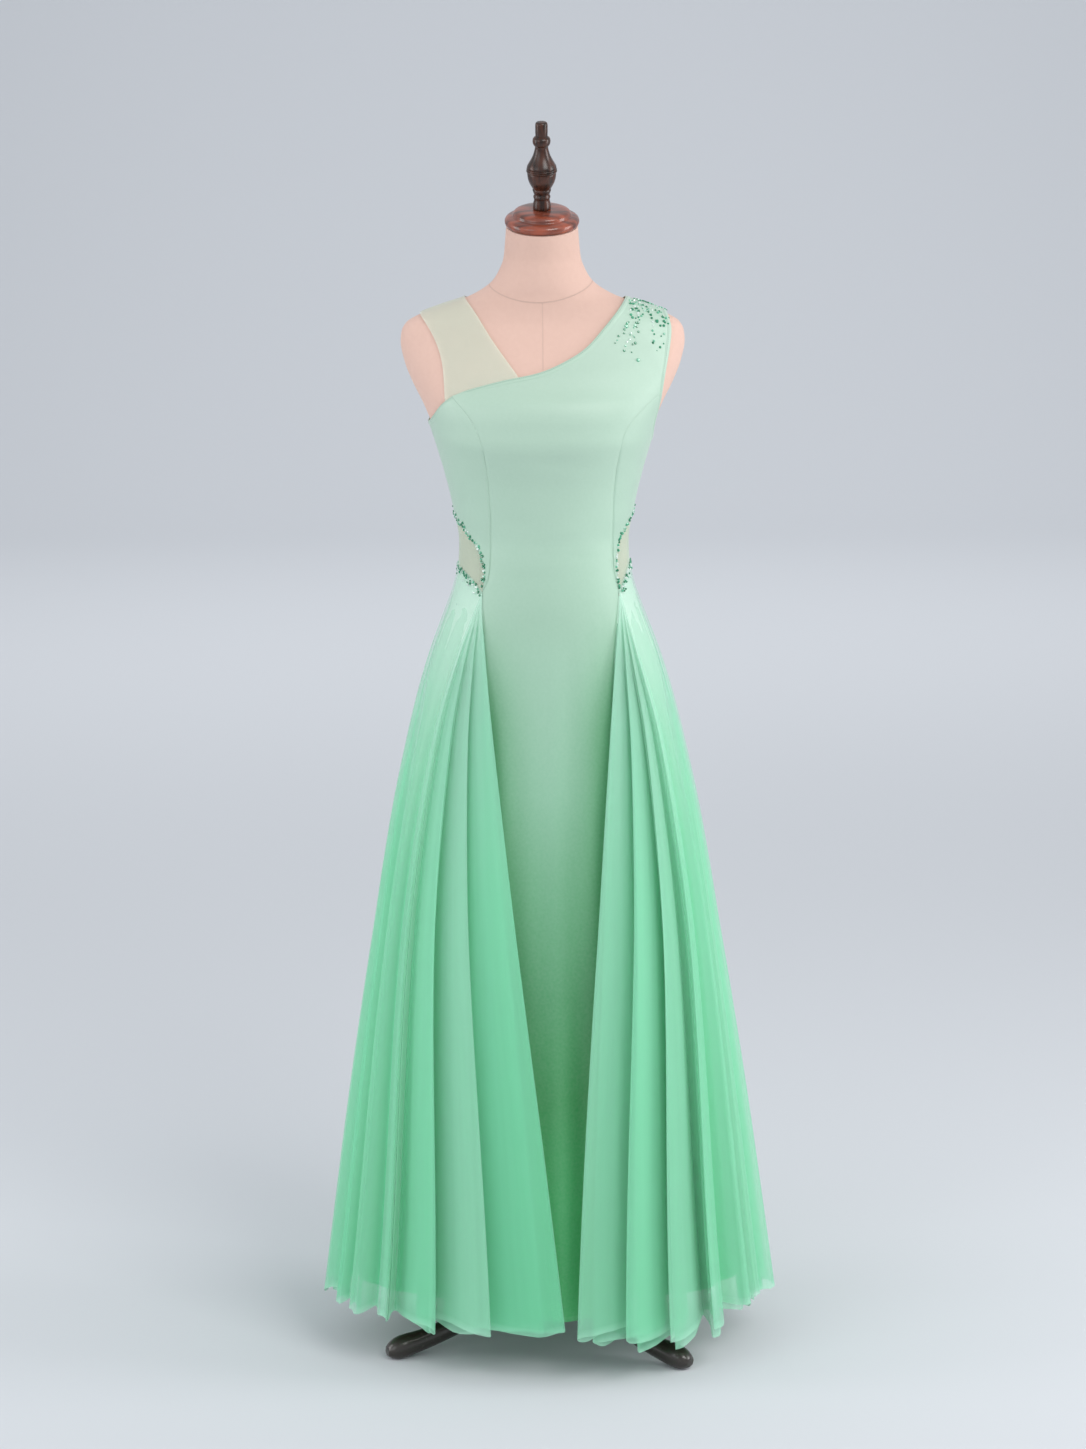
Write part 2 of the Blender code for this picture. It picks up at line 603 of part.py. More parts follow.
def seam_angle(column, back):
    """Angle of a skirt seam as a function of height."""
    return lambda height: front_or_back(angle_at(SEAMS.at(height)[column], height), back)


def on_dress(grid, back):
    """Points of the dress for a grid of angles and heights on its front."""
    return [[dress_point(front_or_back(angle, back), height) for angle, height in row] for row in grid]


def panel_edges():
    """The two long edges of the middle panel, from the shoulder to the waist point."""
    left = np.vstack((cut_path(NECKLINE, STRAP_ROWS), cut_path(PRINCESS_LEFT, BODICE_ROWS)[1:]))
    right = np.vstack((cut_path(ARMHOLE, STRAP_ROWS), cut_path(PRINCESS_RIGHT, BODICE_ROWS)[1:]))
    return left, right


def make_panel(name, back, collection):
    """The middle satin panel, cut in one from the shoulder strap to the hem."""
    left, right = panel_edges()
    across = np.linspace(0, 1, PANEL_COLUMNS + 1)[:, None]
    top = left[0] + (right[0] - left[0]) * across
    bottom = left[-1] + (right[-1] - left[-1]) * across
    grid = on_dress(coons(left, right, top, bottom), back)
    first, last = seam_angle(0, back), seam_angle(2, back)
    for level in SKIRT_LEVELS[1:]:
        height = WAIST_POINT + (HEM - WAIST_POINT) * level
        sink = PANEL_SINK * eased(level / SINK_LEVEL) * (1 if back else -1)
        row = []
        for part in across[:, 0]:
            point = dress_point(first(height) + (last(height) - first(height)) * part, height)
            row.append(point - np.array((0.0, sink, 0.0)))
        grid.append(row)
    if back:
        grid = [row[::-1] for row in grid]
    return cloth(name, step_inward(grid, FLAT_SEAM, FLAT_SEAM), "satin", collection)


def make_side_bodice(name, princess, side_edge, cutout, back, collection):
    """A side panel of the bodice, from the armhole to the top of the waist cut-out."""
    rows = np.linspace(0, 1, BODICE_ROWS + 1)[:, None]
    middle = cut_path(princess, BODICE_ROWS)
    top = cut_path(side_edge, SIDE_COLUMNS)
    bottom = cut_path(cutout, SIDE_COLUMNS)
    side = top[-1] + (bottom[-1] - top[-1]) * rows
    grid = on_dress(coons(middle, side, top, bottom), back)
    if (princess[0][0] < 0) != back:
        grid = [row[::-1] for row in grid]
    return cloth(name, step_inward(grid, FLAT_SEAM, FLAT_SEAM), "satin", collection)


def make_yoke(collection):
    """The sheer yoke over the other shoulder, front edge to back edge in one piece."""
    arm = cut_path(YOKE_ARM, YOKE_ROWS)
    neck = cut_path(YOKE_NECK, YOKE_ROWS)
    neckline = np.vstack((cut_path(NECKLINE, STRAP_ROWS), cut_path(NECKLINE_SIDE, SIDE_COLUMNS)[1:]))[::-1]
    for corner in (arm[-1], neck[-1]):
        corner[1] = np.interp(corner[0], neckline[:, 0], neckline[:, 1])
    between = (neckline[:, 0] > arm[-1][0]) & (neckline[:, 0] < neck[-1][0])
    edge = np.vstack((arm[-1], neckline[between], neck[-1]))
    across = np.linspace(0, 1, len(edge))[:, None]
    top = arm[0] + (neck[0] - arm[0]) * across
    rows = coons(arm, neck, top, edge)
    grid = on_dress(rows, False)[::-1] + on_dress(rows, True)[1:]
    grid = [row[::-1] for row in grid]
    return cloth("mesh_yoke", step_inward(grid, MESH_SEAM, FLAT_SEAM), "nude_mesh", collection)


def make_waist_inset(name, top_line, base_line, collection):
    """The sheer inset of a waist cut-out, round the side from point to point."""
    top = cut_path(top_line, SIDE_COLUMNS)
    base = cut_path(base_line, SIDE_COLUMNS)
    grid = []
    for i in range(INSET_ROWS + 1):
        row = top + (base - top) * i / INSET_ROWS
        front, back = on_dress([row], False)[0], on_dress([row], True)[0]
        for half in (front, back):
            half[0] = half[0] + (half[1] - half[0]) * INSET_TIP
        whole = front + back[-2::-1]
        grid.append(whole if top_line[0][0] > 0 else whole[::-1])
    return cloth(name, step_inward(grid, MESH_SEAM, 0.0), "nude_mesh", collection)


def make_godet(name, folds, places, panel_column, side_column, back, collection):
    """A tulle godet let into a seam, from the waist point to the hem."""
    inner, outer = seam_angle(panel_column, back), seam_angle(side_column, back)
    outer_first = (panel_column == 0) != back

    def edges(height):
        pair = (inner(height), outer(height))
        return pair[::-1] if outer_first else pair

    ordered = folds[::-1] if outer_first else folds
    grid = folded_panel(ordered, places, edges, lambda angle: WAIST_POINT, 1 if outer_first else -1,
                        SKIRT_LEVELS[1:])
    return cloth(name, step_inward(grid, FLAT_SEAM, VALLEY_SEAM), "tulle", collection)


def make_side_skirt(name, folds, base_line, side_column, collection):
    """A tulle side panel, from the lower edge of the cut-out to the hem."""
    front, back = seam_angle(side_column, False), seam_angle(side_column, True)
    left = base_line[0][0] < 0
    base = np.abs(cut_path(base_line, SIDE_COLUMNS))

    def edges(height):
        return (back(height) - 2 * math.pi, front(height)) if left else (front(height), back(height))

    def top_height(angle):
        on_front = min(abs(angle), math.pi - abs(angle))
        return float(np.interp(on_front, base[:, 0], base[:, 1]))

    grid = folded_panel(folds, SOFT_FOLD_PLACES, edges, top_height, 1, SKIRT_LEVELS)
    return cloth(name, step_inward(grid, FLAT_SEAM, VALLEY_SEAM), "tulle", collection)


def surface_strip(path, width, inside, lift):
    """Two edges of a strip on the dress: a path and its copy moved inwards along the surface."""
    points = np.array([dress_point(angle, z, LIFT + lift) for angle, z in path])
    normals = np.array([form_normal(section_point(FORM, z, angle)) for angle, z in path])
    along = np.roll(points, -1, axis=0) - np.roll(points, 1, axis=0)
    across = np.cross(normals, along)
    across /= np.linalg.norm(across, axis=1, keepdims=True)
    return np.array((points, points + across * width * inside))


def make_binding(name, upper, lower, lift, collection):
    """The turned and stitched edge that lies on the panels, all the way round an opening."""
    line = np.vstack((cut_path(upper, STRAP_ROWS), cut_path(lower, SIDE_COLUMNS)[1:]))
    path = np.vstack((line, [(math.pi - angle, height) for angle, height in line[-2:0:-1]]))
    under_other_arm = lower[0][0] < 0
    strip = surface_strip(path, BINDING_WIDTH, 1 if under_other_arm else -1, lift)
    if not under_other_arm:
        strip = strip[:, ::-1]
    return cloth(name, strip[:, ::-1], "satin", collection, wall=BINDING_WALL, closed=True)


def build():
    for thing in list(bpy.data.objects):
        bpy.data.objects.remove(thing, do_unlink=True)
    collection = bpy.data.collections.new("dance_dress_on_form")
    bpy.context.scene.collection.children.link(collection)
    make_form(collection)
    make_cap_and_finial(collection)
    make_pole(collection)
    for name, direction in LEG_DIRECTIONS.items():
        make_leg(name, direction, collection)
    make_panel("front_panel", False, collection)
    make_panel("back_panel", True, collection)
    for where, back in (("front", False), ("back", True)):
        make_side_bodice("side_" + where + "_left", PRINCESS_LEFT, NECKLINE_SIDE, CUTOUT_TOP_LEFT,
                         back, collection)
        make_side_bodice("side_" + where + "_right", PRINCESS_RIGHT, ARMHOLE_SIDE, CUTOUT_TOP_RIGHT,
                         back, collection)
    make_yoke(collection)
    make_waist_inset("waist_inset_left", CUTOUT_TOP_LEFT, CUTOUT_BASE_LEFT, collection)
    make_waist_inset("waist_inset_right", CUTOUT_TOP_RIGHT, CUTOUT_BASE_RIGHT, collection)
    make_godet("godet_front_left", FOLDS_FRONT_LEFT, FOLD_PLACES, 0, 1, False, collection)
    make_godet("godet_front_right", FOLDS_FRONT_RIGHT, FOLD_PLACES, 2, 3, False, collection)
    make_godet("godet_back_left", FOLDS_BACK_LEFT, SOFT_FOLD_PLACES, 0, 1, True, collection)
    make_godet("godet_back_right", FOLDS_BACK_RIGHT, SOFT_FOLD_PLACES, 2, 3, True, collection)
    make_side_skirt("side_skirt_left", FOLDS_SIDE_LEFT, CUTOUT_BASE_LEFT, 1, collection)
    make_side_skirt("side_skirt_right", FOLDS_SIDE_RIGHT, CUTOUT_BASE_RIGHT, 3, collection)
    make_binding("neckline_binding", NECKLINE, NECKLINE_SIDE, NECKLINE_BINDING_LIFT, collection)
    make_binding("armhole_binding", ARMHOLE, ARMHOLE_SIDE, ARMHOLE_BINDING_LIFT, collection)


build()
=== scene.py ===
import math
import random

import bmesh
import bpy
import numpy as np
from mathutils import Matrix, Quaternion, Vector


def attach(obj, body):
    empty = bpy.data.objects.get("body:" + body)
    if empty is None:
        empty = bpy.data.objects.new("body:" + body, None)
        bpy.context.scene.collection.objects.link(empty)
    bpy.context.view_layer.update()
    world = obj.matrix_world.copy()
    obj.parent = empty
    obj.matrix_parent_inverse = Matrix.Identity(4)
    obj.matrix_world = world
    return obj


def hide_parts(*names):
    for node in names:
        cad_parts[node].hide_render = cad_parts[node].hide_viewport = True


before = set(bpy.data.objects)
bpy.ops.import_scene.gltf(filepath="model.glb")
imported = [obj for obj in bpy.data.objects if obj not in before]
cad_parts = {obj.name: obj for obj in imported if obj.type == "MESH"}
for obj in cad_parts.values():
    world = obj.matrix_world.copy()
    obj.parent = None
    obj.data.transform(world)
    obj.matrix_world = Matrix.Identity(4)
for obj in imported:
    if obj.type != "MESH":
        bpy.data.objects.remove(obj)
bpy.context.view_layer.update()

# The studio: a pale paper sweep, curved up behind the dress and lit evenly by soft boxes.
# The camera stands five metres in front, a little above the neck, and looks slightly down.
CAMERA_PLACE = (-0.0027, -5.0, 1.75)
CAMERA_PITCH = math.radians(10.0)
CAMERA_ROLL = math.radians(-0.35)
LENS = 92.84
PAPER = (0.63, 0.65, 0.68)
PAPER_HALF = 14.0
PAPER_BACK = 9.0
PAPER_CURVE = 4.0
PAPER_STEPS = 24
SKY = (0.80, 0.83, 0.87)
SKY_STRENGTH = 0.79
LAMPS = (
    ("key", (1.9, -3.1, 3.7), (2.2, 1.6), 70.0, (1.0, 0.985, 0.96)),
    ("fill", (-2.8, -3.4, 2.3), (2.6, 2.2), 25.0, (0.95, 0.98, 1.0)),
    ("side_right", (3.2, -0.4, 1.6), (1.2, 2.4), 43.0, (1.0, 1.0, 1.0)),
    ("side_left", (-3.2, -0.4, 1.6), (1.2, 2.4), 28.0, (1.0, 1.0, 1.0)),
    ("backdrop", (0.5, 6.0, 5.2), (9.0, 4.0), 165.0, (1.0, 1.0, 1.0)),
)
BACKDROP_AIM = Vector((0, 10.0, 0.6))
DRESS_AIM = Vector((0, 0, 1.0))
scene = bpy.context.scene
scene.view_settings.view_transform = "Standard"
scene.cycles.transparent_max_bounces = 32
camera = bpy.data.objects.new("camera", bpy.data.cameras.new("camera"))
camera.data.lens = LENS
camera.location = CAMERA_PLACE
camera.rotation_mode = "QUATERNION"
camera.rotation_quaternion = (Quaternion((1, 0, 0), math.pi / 2 - CAMERA_PITCH)
                              @ Quaternion((0, 0, 1), CAMERA_ROLL))
scene.collection.objects.link(camera)
scene.camera = camera
world = bpy.data.worlds.new("studio")
scene.world = world
world.use_nodes = True
world.node_tree.nodes["Background"].inputs["Color"].default_value = (*SKY, 1.0)
world.node_tree.nodes["Background"].inputs["Strength"].default_value = SKY_STRENGTH
for lamp_name, place, size, power, colour in LAMPS:
    lamp = bpy.data.objects.new(lamp_name, bpy.data.lights.new(lamp_name, "AREA"))
    lamp.data.shape = "RECTANGLE"
    lamp.data.size, lamp.data.size_y = size
    lamp.data.energy = power
    lamp.data.color = colour
    lamp.location = place
    lamp.rotation_mode = "QUATERNION"
    aim = BACKDROP_AIM if lamp_name == "backdrop" else DRESS_AIM
    lamp.rotation_quaternion = (aim - Vector(place)).to_track_quat("-Z", "Y")
    scene.collection.objects.link(lamp)
bpy.ops.object.select_all(action="DESELECT")
bpy.ops.mesh.primitive_plane_add(size=2 * PAPER_HALF, location=(0, PAPER_BACK - PAPER_HALF, 0))
paper = bpy.context.object
paper.name = "paper_sweep"
paper.data.transform(Matrix.Translation(paper.location))
paper.location = (0, 0, 0)
bpy.ops.object.mode_set(mode="EDIT")
bpy.context.tool_settings.mesh_select_mode = (False, True, False)
sweep = bmesh.from_edit_mesh(paper.data)
for edge in sweep.edges:
    edge.select_set(all(vert.co.y > PAPER_BACK - 0.01 for vert in edge.verts))
bmesh.update_edit_mesh(paper.data)
bpy.ops.mesh.spin(steps=PAPER_STEPS, angle=-math.pi / 2, center=(0, PAPER_BACK, PAPER_CURVE), axis=(1, 0, 0))
bpy.ops.object.mode_set(mode="OBJECT")
bpy.ops.object.shade_smooth()
paper_finish = bpy.data.materials.new("paper")
paper_finish.use_nodes = True
paper_shader = paper_finish.node_tree.nodes["Principled BSDF"]
paper_shader.inputs["Base Color"].default_value = (*PAPER, 1.0)
paper_shader.inputs["Roughness"].default_value = 0.9
paper_shader.inputs["Specular IOR Level"].default_value = 0.2
paper.data.materials.append(paper_finish)


# The torso: a padded shell in a tight cover of plain linen, sewn down the middle of the chest
# and round the base of the neck. It is cut off flat under the hips, and its neck slants forward.
NECK_TOP = 1.542
NECK_TILT = math.radians(16.0)
TILT_START = 1.485
# Height, half width, depth in front, depth behind, middle, squareness
FORM_ROWS = (
    (1.542, 0.0475, 0.0475, 0.0475, -0.012, 2.0),
    (1.522, 0.0490, 0.0490, 0.0490, -0.010, 2.0),
    (1.500, 0.0512, 0.0510, 0.0520, -0.008, 2.0),
    (1.480, 0.0590, 0.0560, 0.0580, -0.006, 2.0),
    (1.468, 0.0672, 0.0600, 0.0630, -0.004, 2.0),
    (1.458, 0.0800, 0.0620, 0.0670, -0.002, 2.0),
    (1.447, 0.1010, 0.0635, 0.0700, 0.000, 2.0),
    (1.4365, 0.1330, 0.0650, 0.0730, 0.000, 2.1),
    (1.4266, 0.1600, 0.0670, 0.0760, 0.000, 2.1),
    (1.414, 0.1820, 0.0700, 0.0790, 0.000, 2.2),
    (1.403, 0.1880, 0.0735, 0.0820, 0.000, 2.2),
    (1.389, 0.1895, 0.0785, 0.0860, 0.000, 2.2),
    (1.363, 0.1845, 0.0900, 0.0930, 0.000, 2.3),
    (1.336, 0.1740, 0.1040, 0.0990, 0.000, 2.4),
    (1.309, 0.1605, 0.1180, 0.1040, 0.000, 2.5),
    (1.285, 0.1505, 0.1265, 0.1070, 0.000, 2.5),
    (1.265, 0.1440, 0.1275, 0.1075, 0.000, 2.5),
    (1.240, 0.1365, 0.1205, 0.1060, 0.000, 2.4),
    (1.202, 0.1260, 0.1075, 0.1000, 0.000, 2.3),
    (1.160, 0.1170, 0.0990, 0.0950, 0.000, 2.2),
    (1.121, 0.1115, 0.0940, 0.0910, 0.000, 2.1),
    (1.094, 0.1125, 0.0940, 0.0920, 0.000, 2.1),
    (1.066, 0.1175, 0.0955, 0.0960, 0.000, 2.1),
    (1.039, 0.1260, 0.0985, 0.1030, 0.000, 2.1),
    (1.012, 0.1350, 0.1010, 0.1110, 0.000, 2.2),
    (0.971, 0.1480, 0.1035, 0.1220, 0.000, 2.2),
    (0.930, 0.1575, 0.1050, 0.1300, 0.000, 2.2),
    (0.888, 0.1620, 0.1050, 0.1330, 0.000, 2.2),
    (0.850, 0.1630, 0.1040, 0.1320, 0.000, 2.2),
    (0.810, 0.1590, 0.1000, 0.1270, 0.000, 2.2),
    (0.785, 0.1520, 0.0940, 0.1190, 0.000, 2.2),
    (0.774, 0.1450, 0.0880, 0.1120, 0.000, 2.2),
    (0.770, 0.1380, 0.0820, 0.1050, 0.000, 2.2),
)
LINEN_PITCH = 0.0011
COVER_ROWS = 190
COVER_SIDES = 144
LINEN_LIGHT = (0.84, 0.580, 0.485)
LINEN_DARK = (0.78, 0.520, 0.430)
LINEN_THREAD = (0.48, 0.33, 0.28)
SEAM_HALF = 0.0008
MIDDLE_SEAM_TOP = 1.4425
NECK_SEAM = 1.4430
NECK_SEAM_END = 1.470
SAME_PLACE = 0.00001


class Wire:
    """A socket of a finish, whose sums and products are written as plain expressions."""

    def __init__(self, paint, socket):
        self.paint = paint
        self.socket = socket

    def sum(self, operation, first, second=0.0):
        return self.paint.node("ShaderNodeMath", {"operation": operation}, {0: first, 1: second})

    def __add__(self, other):
        return self.sum("ADD", self, other)

    __radd__ = __add__

    def __sub__(self, other):
        return self.sum("SUBTRACT", self, other)

    def __rsub__(self, other):
        return self.sum("SUBTRACT", other, self)

    def __mul__(self, other):
        return self.sum("MULTIPLY", self, other)

    __rmul__ = __mul__

    def __truediv__(self, other):
        return self.sum("DIVIDE", self, other)

    def __abs__(self):
        return self.sum("ABSOLUTE", self)

    def __lt__(self, other):
        return self.sum("LESS_THAN", self, other)

    def sine(self):
        return self.sum("SINE", self)


class Paint:
    """A finish made of nodes."""

    def __init__(self, name):
        self.material = bpy.data.materials.new(name)
        self.material.use_nodes = True
        self.tree = self.material.node_tree
        self.shader = self.tree.nodes["Principled BSDF"]

    def node(self, kind, settings=None, values=None, output=0):
        made = self.tree.nodes.new(kind)
        for setting, value in (settings or {}).items():
            if setting == "stops":
                ramp = made.color_ramp.elements
                for place, colour in value[1:-1]:
                    ramp.new(place)
                for stop, (place, colour) in zip(ramp, value):
                    stop.position = place
                    stop.color = (*colour, 1.0)
            else:
                setattr(made, setting, value)
        self.fill(made, values or {})
        return Wire(self, made.outputs[output])

    def fill(self, made, values):
        for name, value in values.items():
            if isinstance(value, Wire):
                self.tree.links.new(value.socket, made.inputs[name])
            else:
                made.inputs[name].default_value = value

    def set(self, values):
        self.fill(self.shader, values)

    def parts(self, vector):
        """The x, y and z of a vector."""
        split = self.node("ShaderNodeSeparateXYZ", {}, {0: vector}).socket.node.outputs
        return [Wire(self, split[i]) for i in range(3)]

    def place(self):
        return self.node("ShaderNodeTexCoord", output="Object")

    def cut(self):
        """Lengths along the cloth, in metres."""
        return self.node("ShaderNodeUVMap", {"uv_map": "cut"})

    def fact(self, name):
        return self.node("ShaderNodeAttribute", {"attribute_name": name}, output="Fac")

    def noise(self, where, scale, detail=2.0):
        return self.node("ShaderNodeTexNoise", {}, {"Vector": where, "Scale": scale, "Detail": detail})

    def ramp(self, height, stops):
        return self.node("ShaderNodeValToRGB", {"stops": stops}, {0: height})

    def mix(self, factor, first, second, blend="MIX"):
        settings = {"data_type": "RGBA", "blend_type": blend}
        colours = {0: factor, 6: first, 7: second}
        whole = {key: (*value, 1.0) if isinstance(value, tuple) else value for key, value in colours.items()}
        return self.node("ShaderNodeMix", settings, whole, output=2)

    def bump(self, height, distance):
        return self.node("ShaderNodeBump", {}, {"Height": height, "Distance": distance})


class Sections:
    """Smooth columns over height, from a table whose first column is the height."""

    def __init__(self, rows):
        table = np.array(sorted(rows))
        self.heights = table[:, 0]
        self.values = table[:, 1:]
        steps = np.diff(self.heights)[:, None]
        rates = np.diff(self.values, axis=0) / steps
        before, after, lower, upper = rates[:-1], rates[1:], steps[:-1], steps[1:]
        same_way = before * after > 0
        safe_before, safe_after = np.where(same_way, before, 1.0), np.where(same_way, after, 1.0)
        mean = 3 * (lower + upper) / ((2 * upper + lower) / safe_before + (upper + 2 * lower) / safe_after)
        self.slopes = np.vstack((rates[:1], np.where(same_way, mean, 0.0), rates[-1:]))

    def at(self, height):
        height = np.clip(height, self.heights[0], self.heights[-1])
        i = np.clip(np.searchsorted(self.heights, height) - 1, 0, len(self.heights) - 2)
        step = self.heights[i + 1] - self.heights[i]
        t = ((height - self.heights[i]) / step)[..., None]
        step = step[..., None]
        found = ((2 * t**3 - 3 * t**2 + 1) * self.values[i] + (t**3 - 2 * t**2 + t) * step * self.slopes[i]
                 + (3 * t**2 - 2 * t**3) * self.values[i + 1] + (t**3 - t**2) * step * self.slopes[i + 1])
        return np.moveaxis(found, -1, 0)


def section_point(sections, angle, height):
    """Points of rounded sections at angles from the front."""
    angle, height = np.broadcast_arrays(np.asarray(angle, float), np.asarray(height, float))
    half, front, back, centre, power = sections.at(height)
    across, ahead = np.sin(angle), np.cos(angle)
    scale = (np.abs(across) ** power + np.abs(ahead) ** power) ** (-1 / power)
    depth = np.where(ahead > 0, front, back)
    return np.stack((half * scale * across, centre - depth * scale * ahead, height), axis=-1)


def eased(value):
    value = np.clip(value, 0, 1)
    return value * value * (3 - 2 * value)


def deselect():
    bpy.ops.object.select_all(action="DESELECT")


def take(piece):
    """The piece selected alone, for the operators."""
    deselect()
    piece.select_set(True)
    bpy.context.view_layer.objects.active = piece


def lay_cloth(name, grid, facts=None, thickness=0.0, closed=False):
    """A sheet over a grid of points, with its lengths as a UV map. Facts are numbers at its points."""
    grid = np.asarray(grid, float)
    rows, columns = grid.shape[:2]
    wrap = columns if closed else columns - 1
    i, j = np.meshgrid(np.arange(rows - 1), np.arange(wrap), indexing="ij")
    k = (j + 1) % columns
    faces = np.stack((i * columns + j, (i + 1) * columns + j, (i + 1) * columns + k, i * columns + k),
                     axis=-1)
    mesh = bpy.data.meshes.new(name)
    mesh.from_pydata(grid.reshape(-1, 3).tolist(), [], faces.reshape(-1, 4).tolist())
    across = np.linalg.norm(np.diff(grid, axis=1), axis=2).mean(0)
    down = np.linalg.norm(np.diff(grid, axis=0), axis=2).mean(1)
    u = np.concatenate(([0], np.cumsum(across)))
    v = np.concatenate(([0], np.cumsum(down)))
    if closed:
        u = np.append(u, u[-1] + across.mean())
    corner_u = np.stack((u[j], u[j], u[j + 1], u[j + 1]), axis=-1)
    corner_v = np.stack((v[i], v[i + 1], v[i + 1], v[i]), axis=-1)
    spread = mesh.uv_layers.new(name="cut").data
    spread.foreach_set("uv", np.stack((corner_u, corner_v), axis=-1).astype(np.float32).ravel())
    for fact, values in (facts or {}).items():
        kept = mesh.attributes.new(fact, "FLOAT", "POINT")
        kept.data.foreach_set("value", np.broadcast_to(values, (rows, columns)).astype(np.float32).ravel())
    piece = bpy.data.objects.new(name, mesh)
    scene.collection.objects.link(piece)
    take(piece)
    bpy.ops.object.mode_set(mode="EDIT")
    bpy.ops.mesh.select_all(action="SELECT")
    bpy.ops.mesh.remove_doubles(threshold=SAME_PLACE)
    bpy.ops.object.mode_set(mode="OBJECT")
    bpy.ops.object.shade_smooth()
    if thickness:
        wall = piece.modifiers.new("wall", "SOLIDIFY")
        wall.thickness = thickness
        wall.offset = -1.0
        bpy.ops.object.modifier_apply(modifier="wall")
    return piece


form_sections = Sections(FORM_ROWS)
cover_heights = np.linspace(NECK_TOP, FORM_ROWS[-1][0], COVER_ROWS)[:, None]
cover_angles = np.linspace(0, 2 * math.pi, COVER_SIDES, endpoint=False)[None, :]
cover = section_point(form_sections, cover_angles, cover_heights)
slant = math.tan(NECK_TILT) * eased((cover_heights - TILT_START) / (NECK_TOP - TILT_START))
cover[..., 2] += slant * (cover[..., 1] - form_sections.at(cover_heights)[3])
torso = lay_cloth("linen_torso", cover, closed=True)
take(torso)
bpy.ops.object.mode_set(mode="EDIT")
bpy.ops.mesh.select_all(action="SELECT")
bpy.ops.mesh.region_to_loop()
bpy.ops.mesh.fill_holes(sides=0)
bpy.ops.mesh.select_all(action="SELECT")
bpy.ops.mesh.normals_make_consistent(inside=False)
bpy.ops.object.mode_set(mode="OBJECT")
bpy.ops.object.shade_smooth_by_angle(angle=math.radians(40))
linen = Paint("form_linen")
linen_place = linen.place()
linen_x, linen_y, linen_z = linen.parts(linen_place)
linen_along, linen_down, _ = linen.parts(linen.cut())
linen_turn = 2 * math.pi / LINEN_PITCH
weave = (linen_along * linen_turn).sine() * (linen_down * linen_turn).sine()
slub = linen.noise(linen_place, 170.0, 3.0)
patches = linen.noise(linen_place, 11.0)
middle_seam = (abs(linen_x) < SEAM_HALF) * (linen_y < 0.0) * (linen_z < MIDDLE_SEAM_TOP)
neck_rise = linen_z - (linen_x + 0.006) * (linen_x + 0.006) * 3.7 - (linen_y + 0.062) * 0.12
neck_seam = (abs(neck_rise - NECK_SEAM) < SEAM_HALF) * (linen_z < NECK_SEAM_END)
linen_seams = middle_seam * 0.6 + neck_seam
linen.set({
    "Base Color": linen.mix(linen_seams * 0.30,
                            linen.mix(slub * 0.7 + patches * 0.3, LINEN_LIGHT, LINEN_DARK),
                            LINEN_THREAD),
    "Roughness": 0.85 + slub * 0.1,
    "Normal": linen.bump(weave * 0.8 + slub * 2.2 - linen_seams * 5.0, 0.00012),
    "Specular IOR Level": 0.25,
    "Sheen Weight": 0.1,
})
torso.data.materials.append(linen.material)
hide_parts("form_torso")
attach(torso, "root")


# The neck cap and the finial: turned beech, the cap stained reddish brown and polished, the finial darker
# and glossy. The finial is screwed into the cap, and both lean forward with the neck.
CAP_PLACE = Vector((0.0, -0.012, NECK_TOP))
CAP_SIDES = 112
# Radius and height of each ring, from the foot up
CAP_TURNING = ((0.0452, 0.0003), (0.0470, 0.0008), (0.0484, 0.0020), (0.0492, 0.0040), (0.0495, 0.0062),
               (0.0492, 0.0080), (0.0484, 0.0098), (0.0470, 0.0112), (0.0452, 0.0122), (0.0430, 0.0129),
               (0.0408, 0.0133), (0.0394, 0.0138), (0.0387, 0.0146), (0.0385, 0.0158), (0.0382, 0.0172),
               (0.0374, 0.0186), (0.0360, 0.0199), (0.0340, 0.0208), (0.0312, 0.0215), (0.0270, 0.0221),
               (0.0210, 0.0225), (0.0140, 0.0226), (0.0, 0.0226))
FINIAL_SIDES = 72
FINIAL_BASE = 0.0229
FINIAL_TURNING = ((0.0114, 0.0), (0.0118, 0.0006), (0.0119, 0.0019), (0.0118, 0.0050), (0.0113, 0.0089),
                  (0.0106, 0.0112), (0.0104, 0.0130), (0.0108, 0.0146), (0.0113, 0.0158), (0.0113, 0.0172),
                  (0.0108, 0.0184), (0.0104, 0.0194), (0.0104, 0.0206), (0.0110, 0.0218), (0.0115, 0.0232),
                  (0.0118, 0.0242), (0.0123, 0.0254), (0.0122, 0.0266), (0.0118, 0.0274), (0.0123, 0.0284),
                  (0.0138, 0.0308), (0.0155, 0.0338), (0.0168, 0.0366), (0.0179, 0.0398), (0.0187, 0.0436),
                  (0.0191, 0.0474), (0.0191, 0.0488), (0.0189, 0.0496), (0.0195, 0.0504), (0.0202, 0.0512),
                  (0.0204, 0.0520), (0.0201, 0.0528), (0.0194, 0.0532), (0.0200, 0.0538), (0.0201, 0.0545),
                  (0.0197, 0.0552), (0.0189, 0.0556), (0.0193, 0.0564), (0.0195, 0.0572), (0.0190, 0.0588),
                  (0.0175, 0.0616), (0.0156, 0.0648), (0.0136, 0.0684), (0.0120, 0.0717), (0.0107, 0.0750),
                  (0.0098, 0.0782), (0.0090, 0.0814), (0.0087, 0.0846), (0.0092, 0.0856), (0.0104, 0.0870),
                  (0.0113, 0.0888), (0.0118, 0.0910), (0.0118, 0.0936), (0.0113, 0.0958), (0.0102, 0.0974),
                  (0.0088, 0.0984), (0.0079, 0.0990), (0.0080, 0.1000), (0.0082, 0.1040), (0.0082, 0.1130),
                  (0.0080, 0.1154), (0.0074, 0.1170), (0.0062, 0.1178), (0.0, 0.1180))


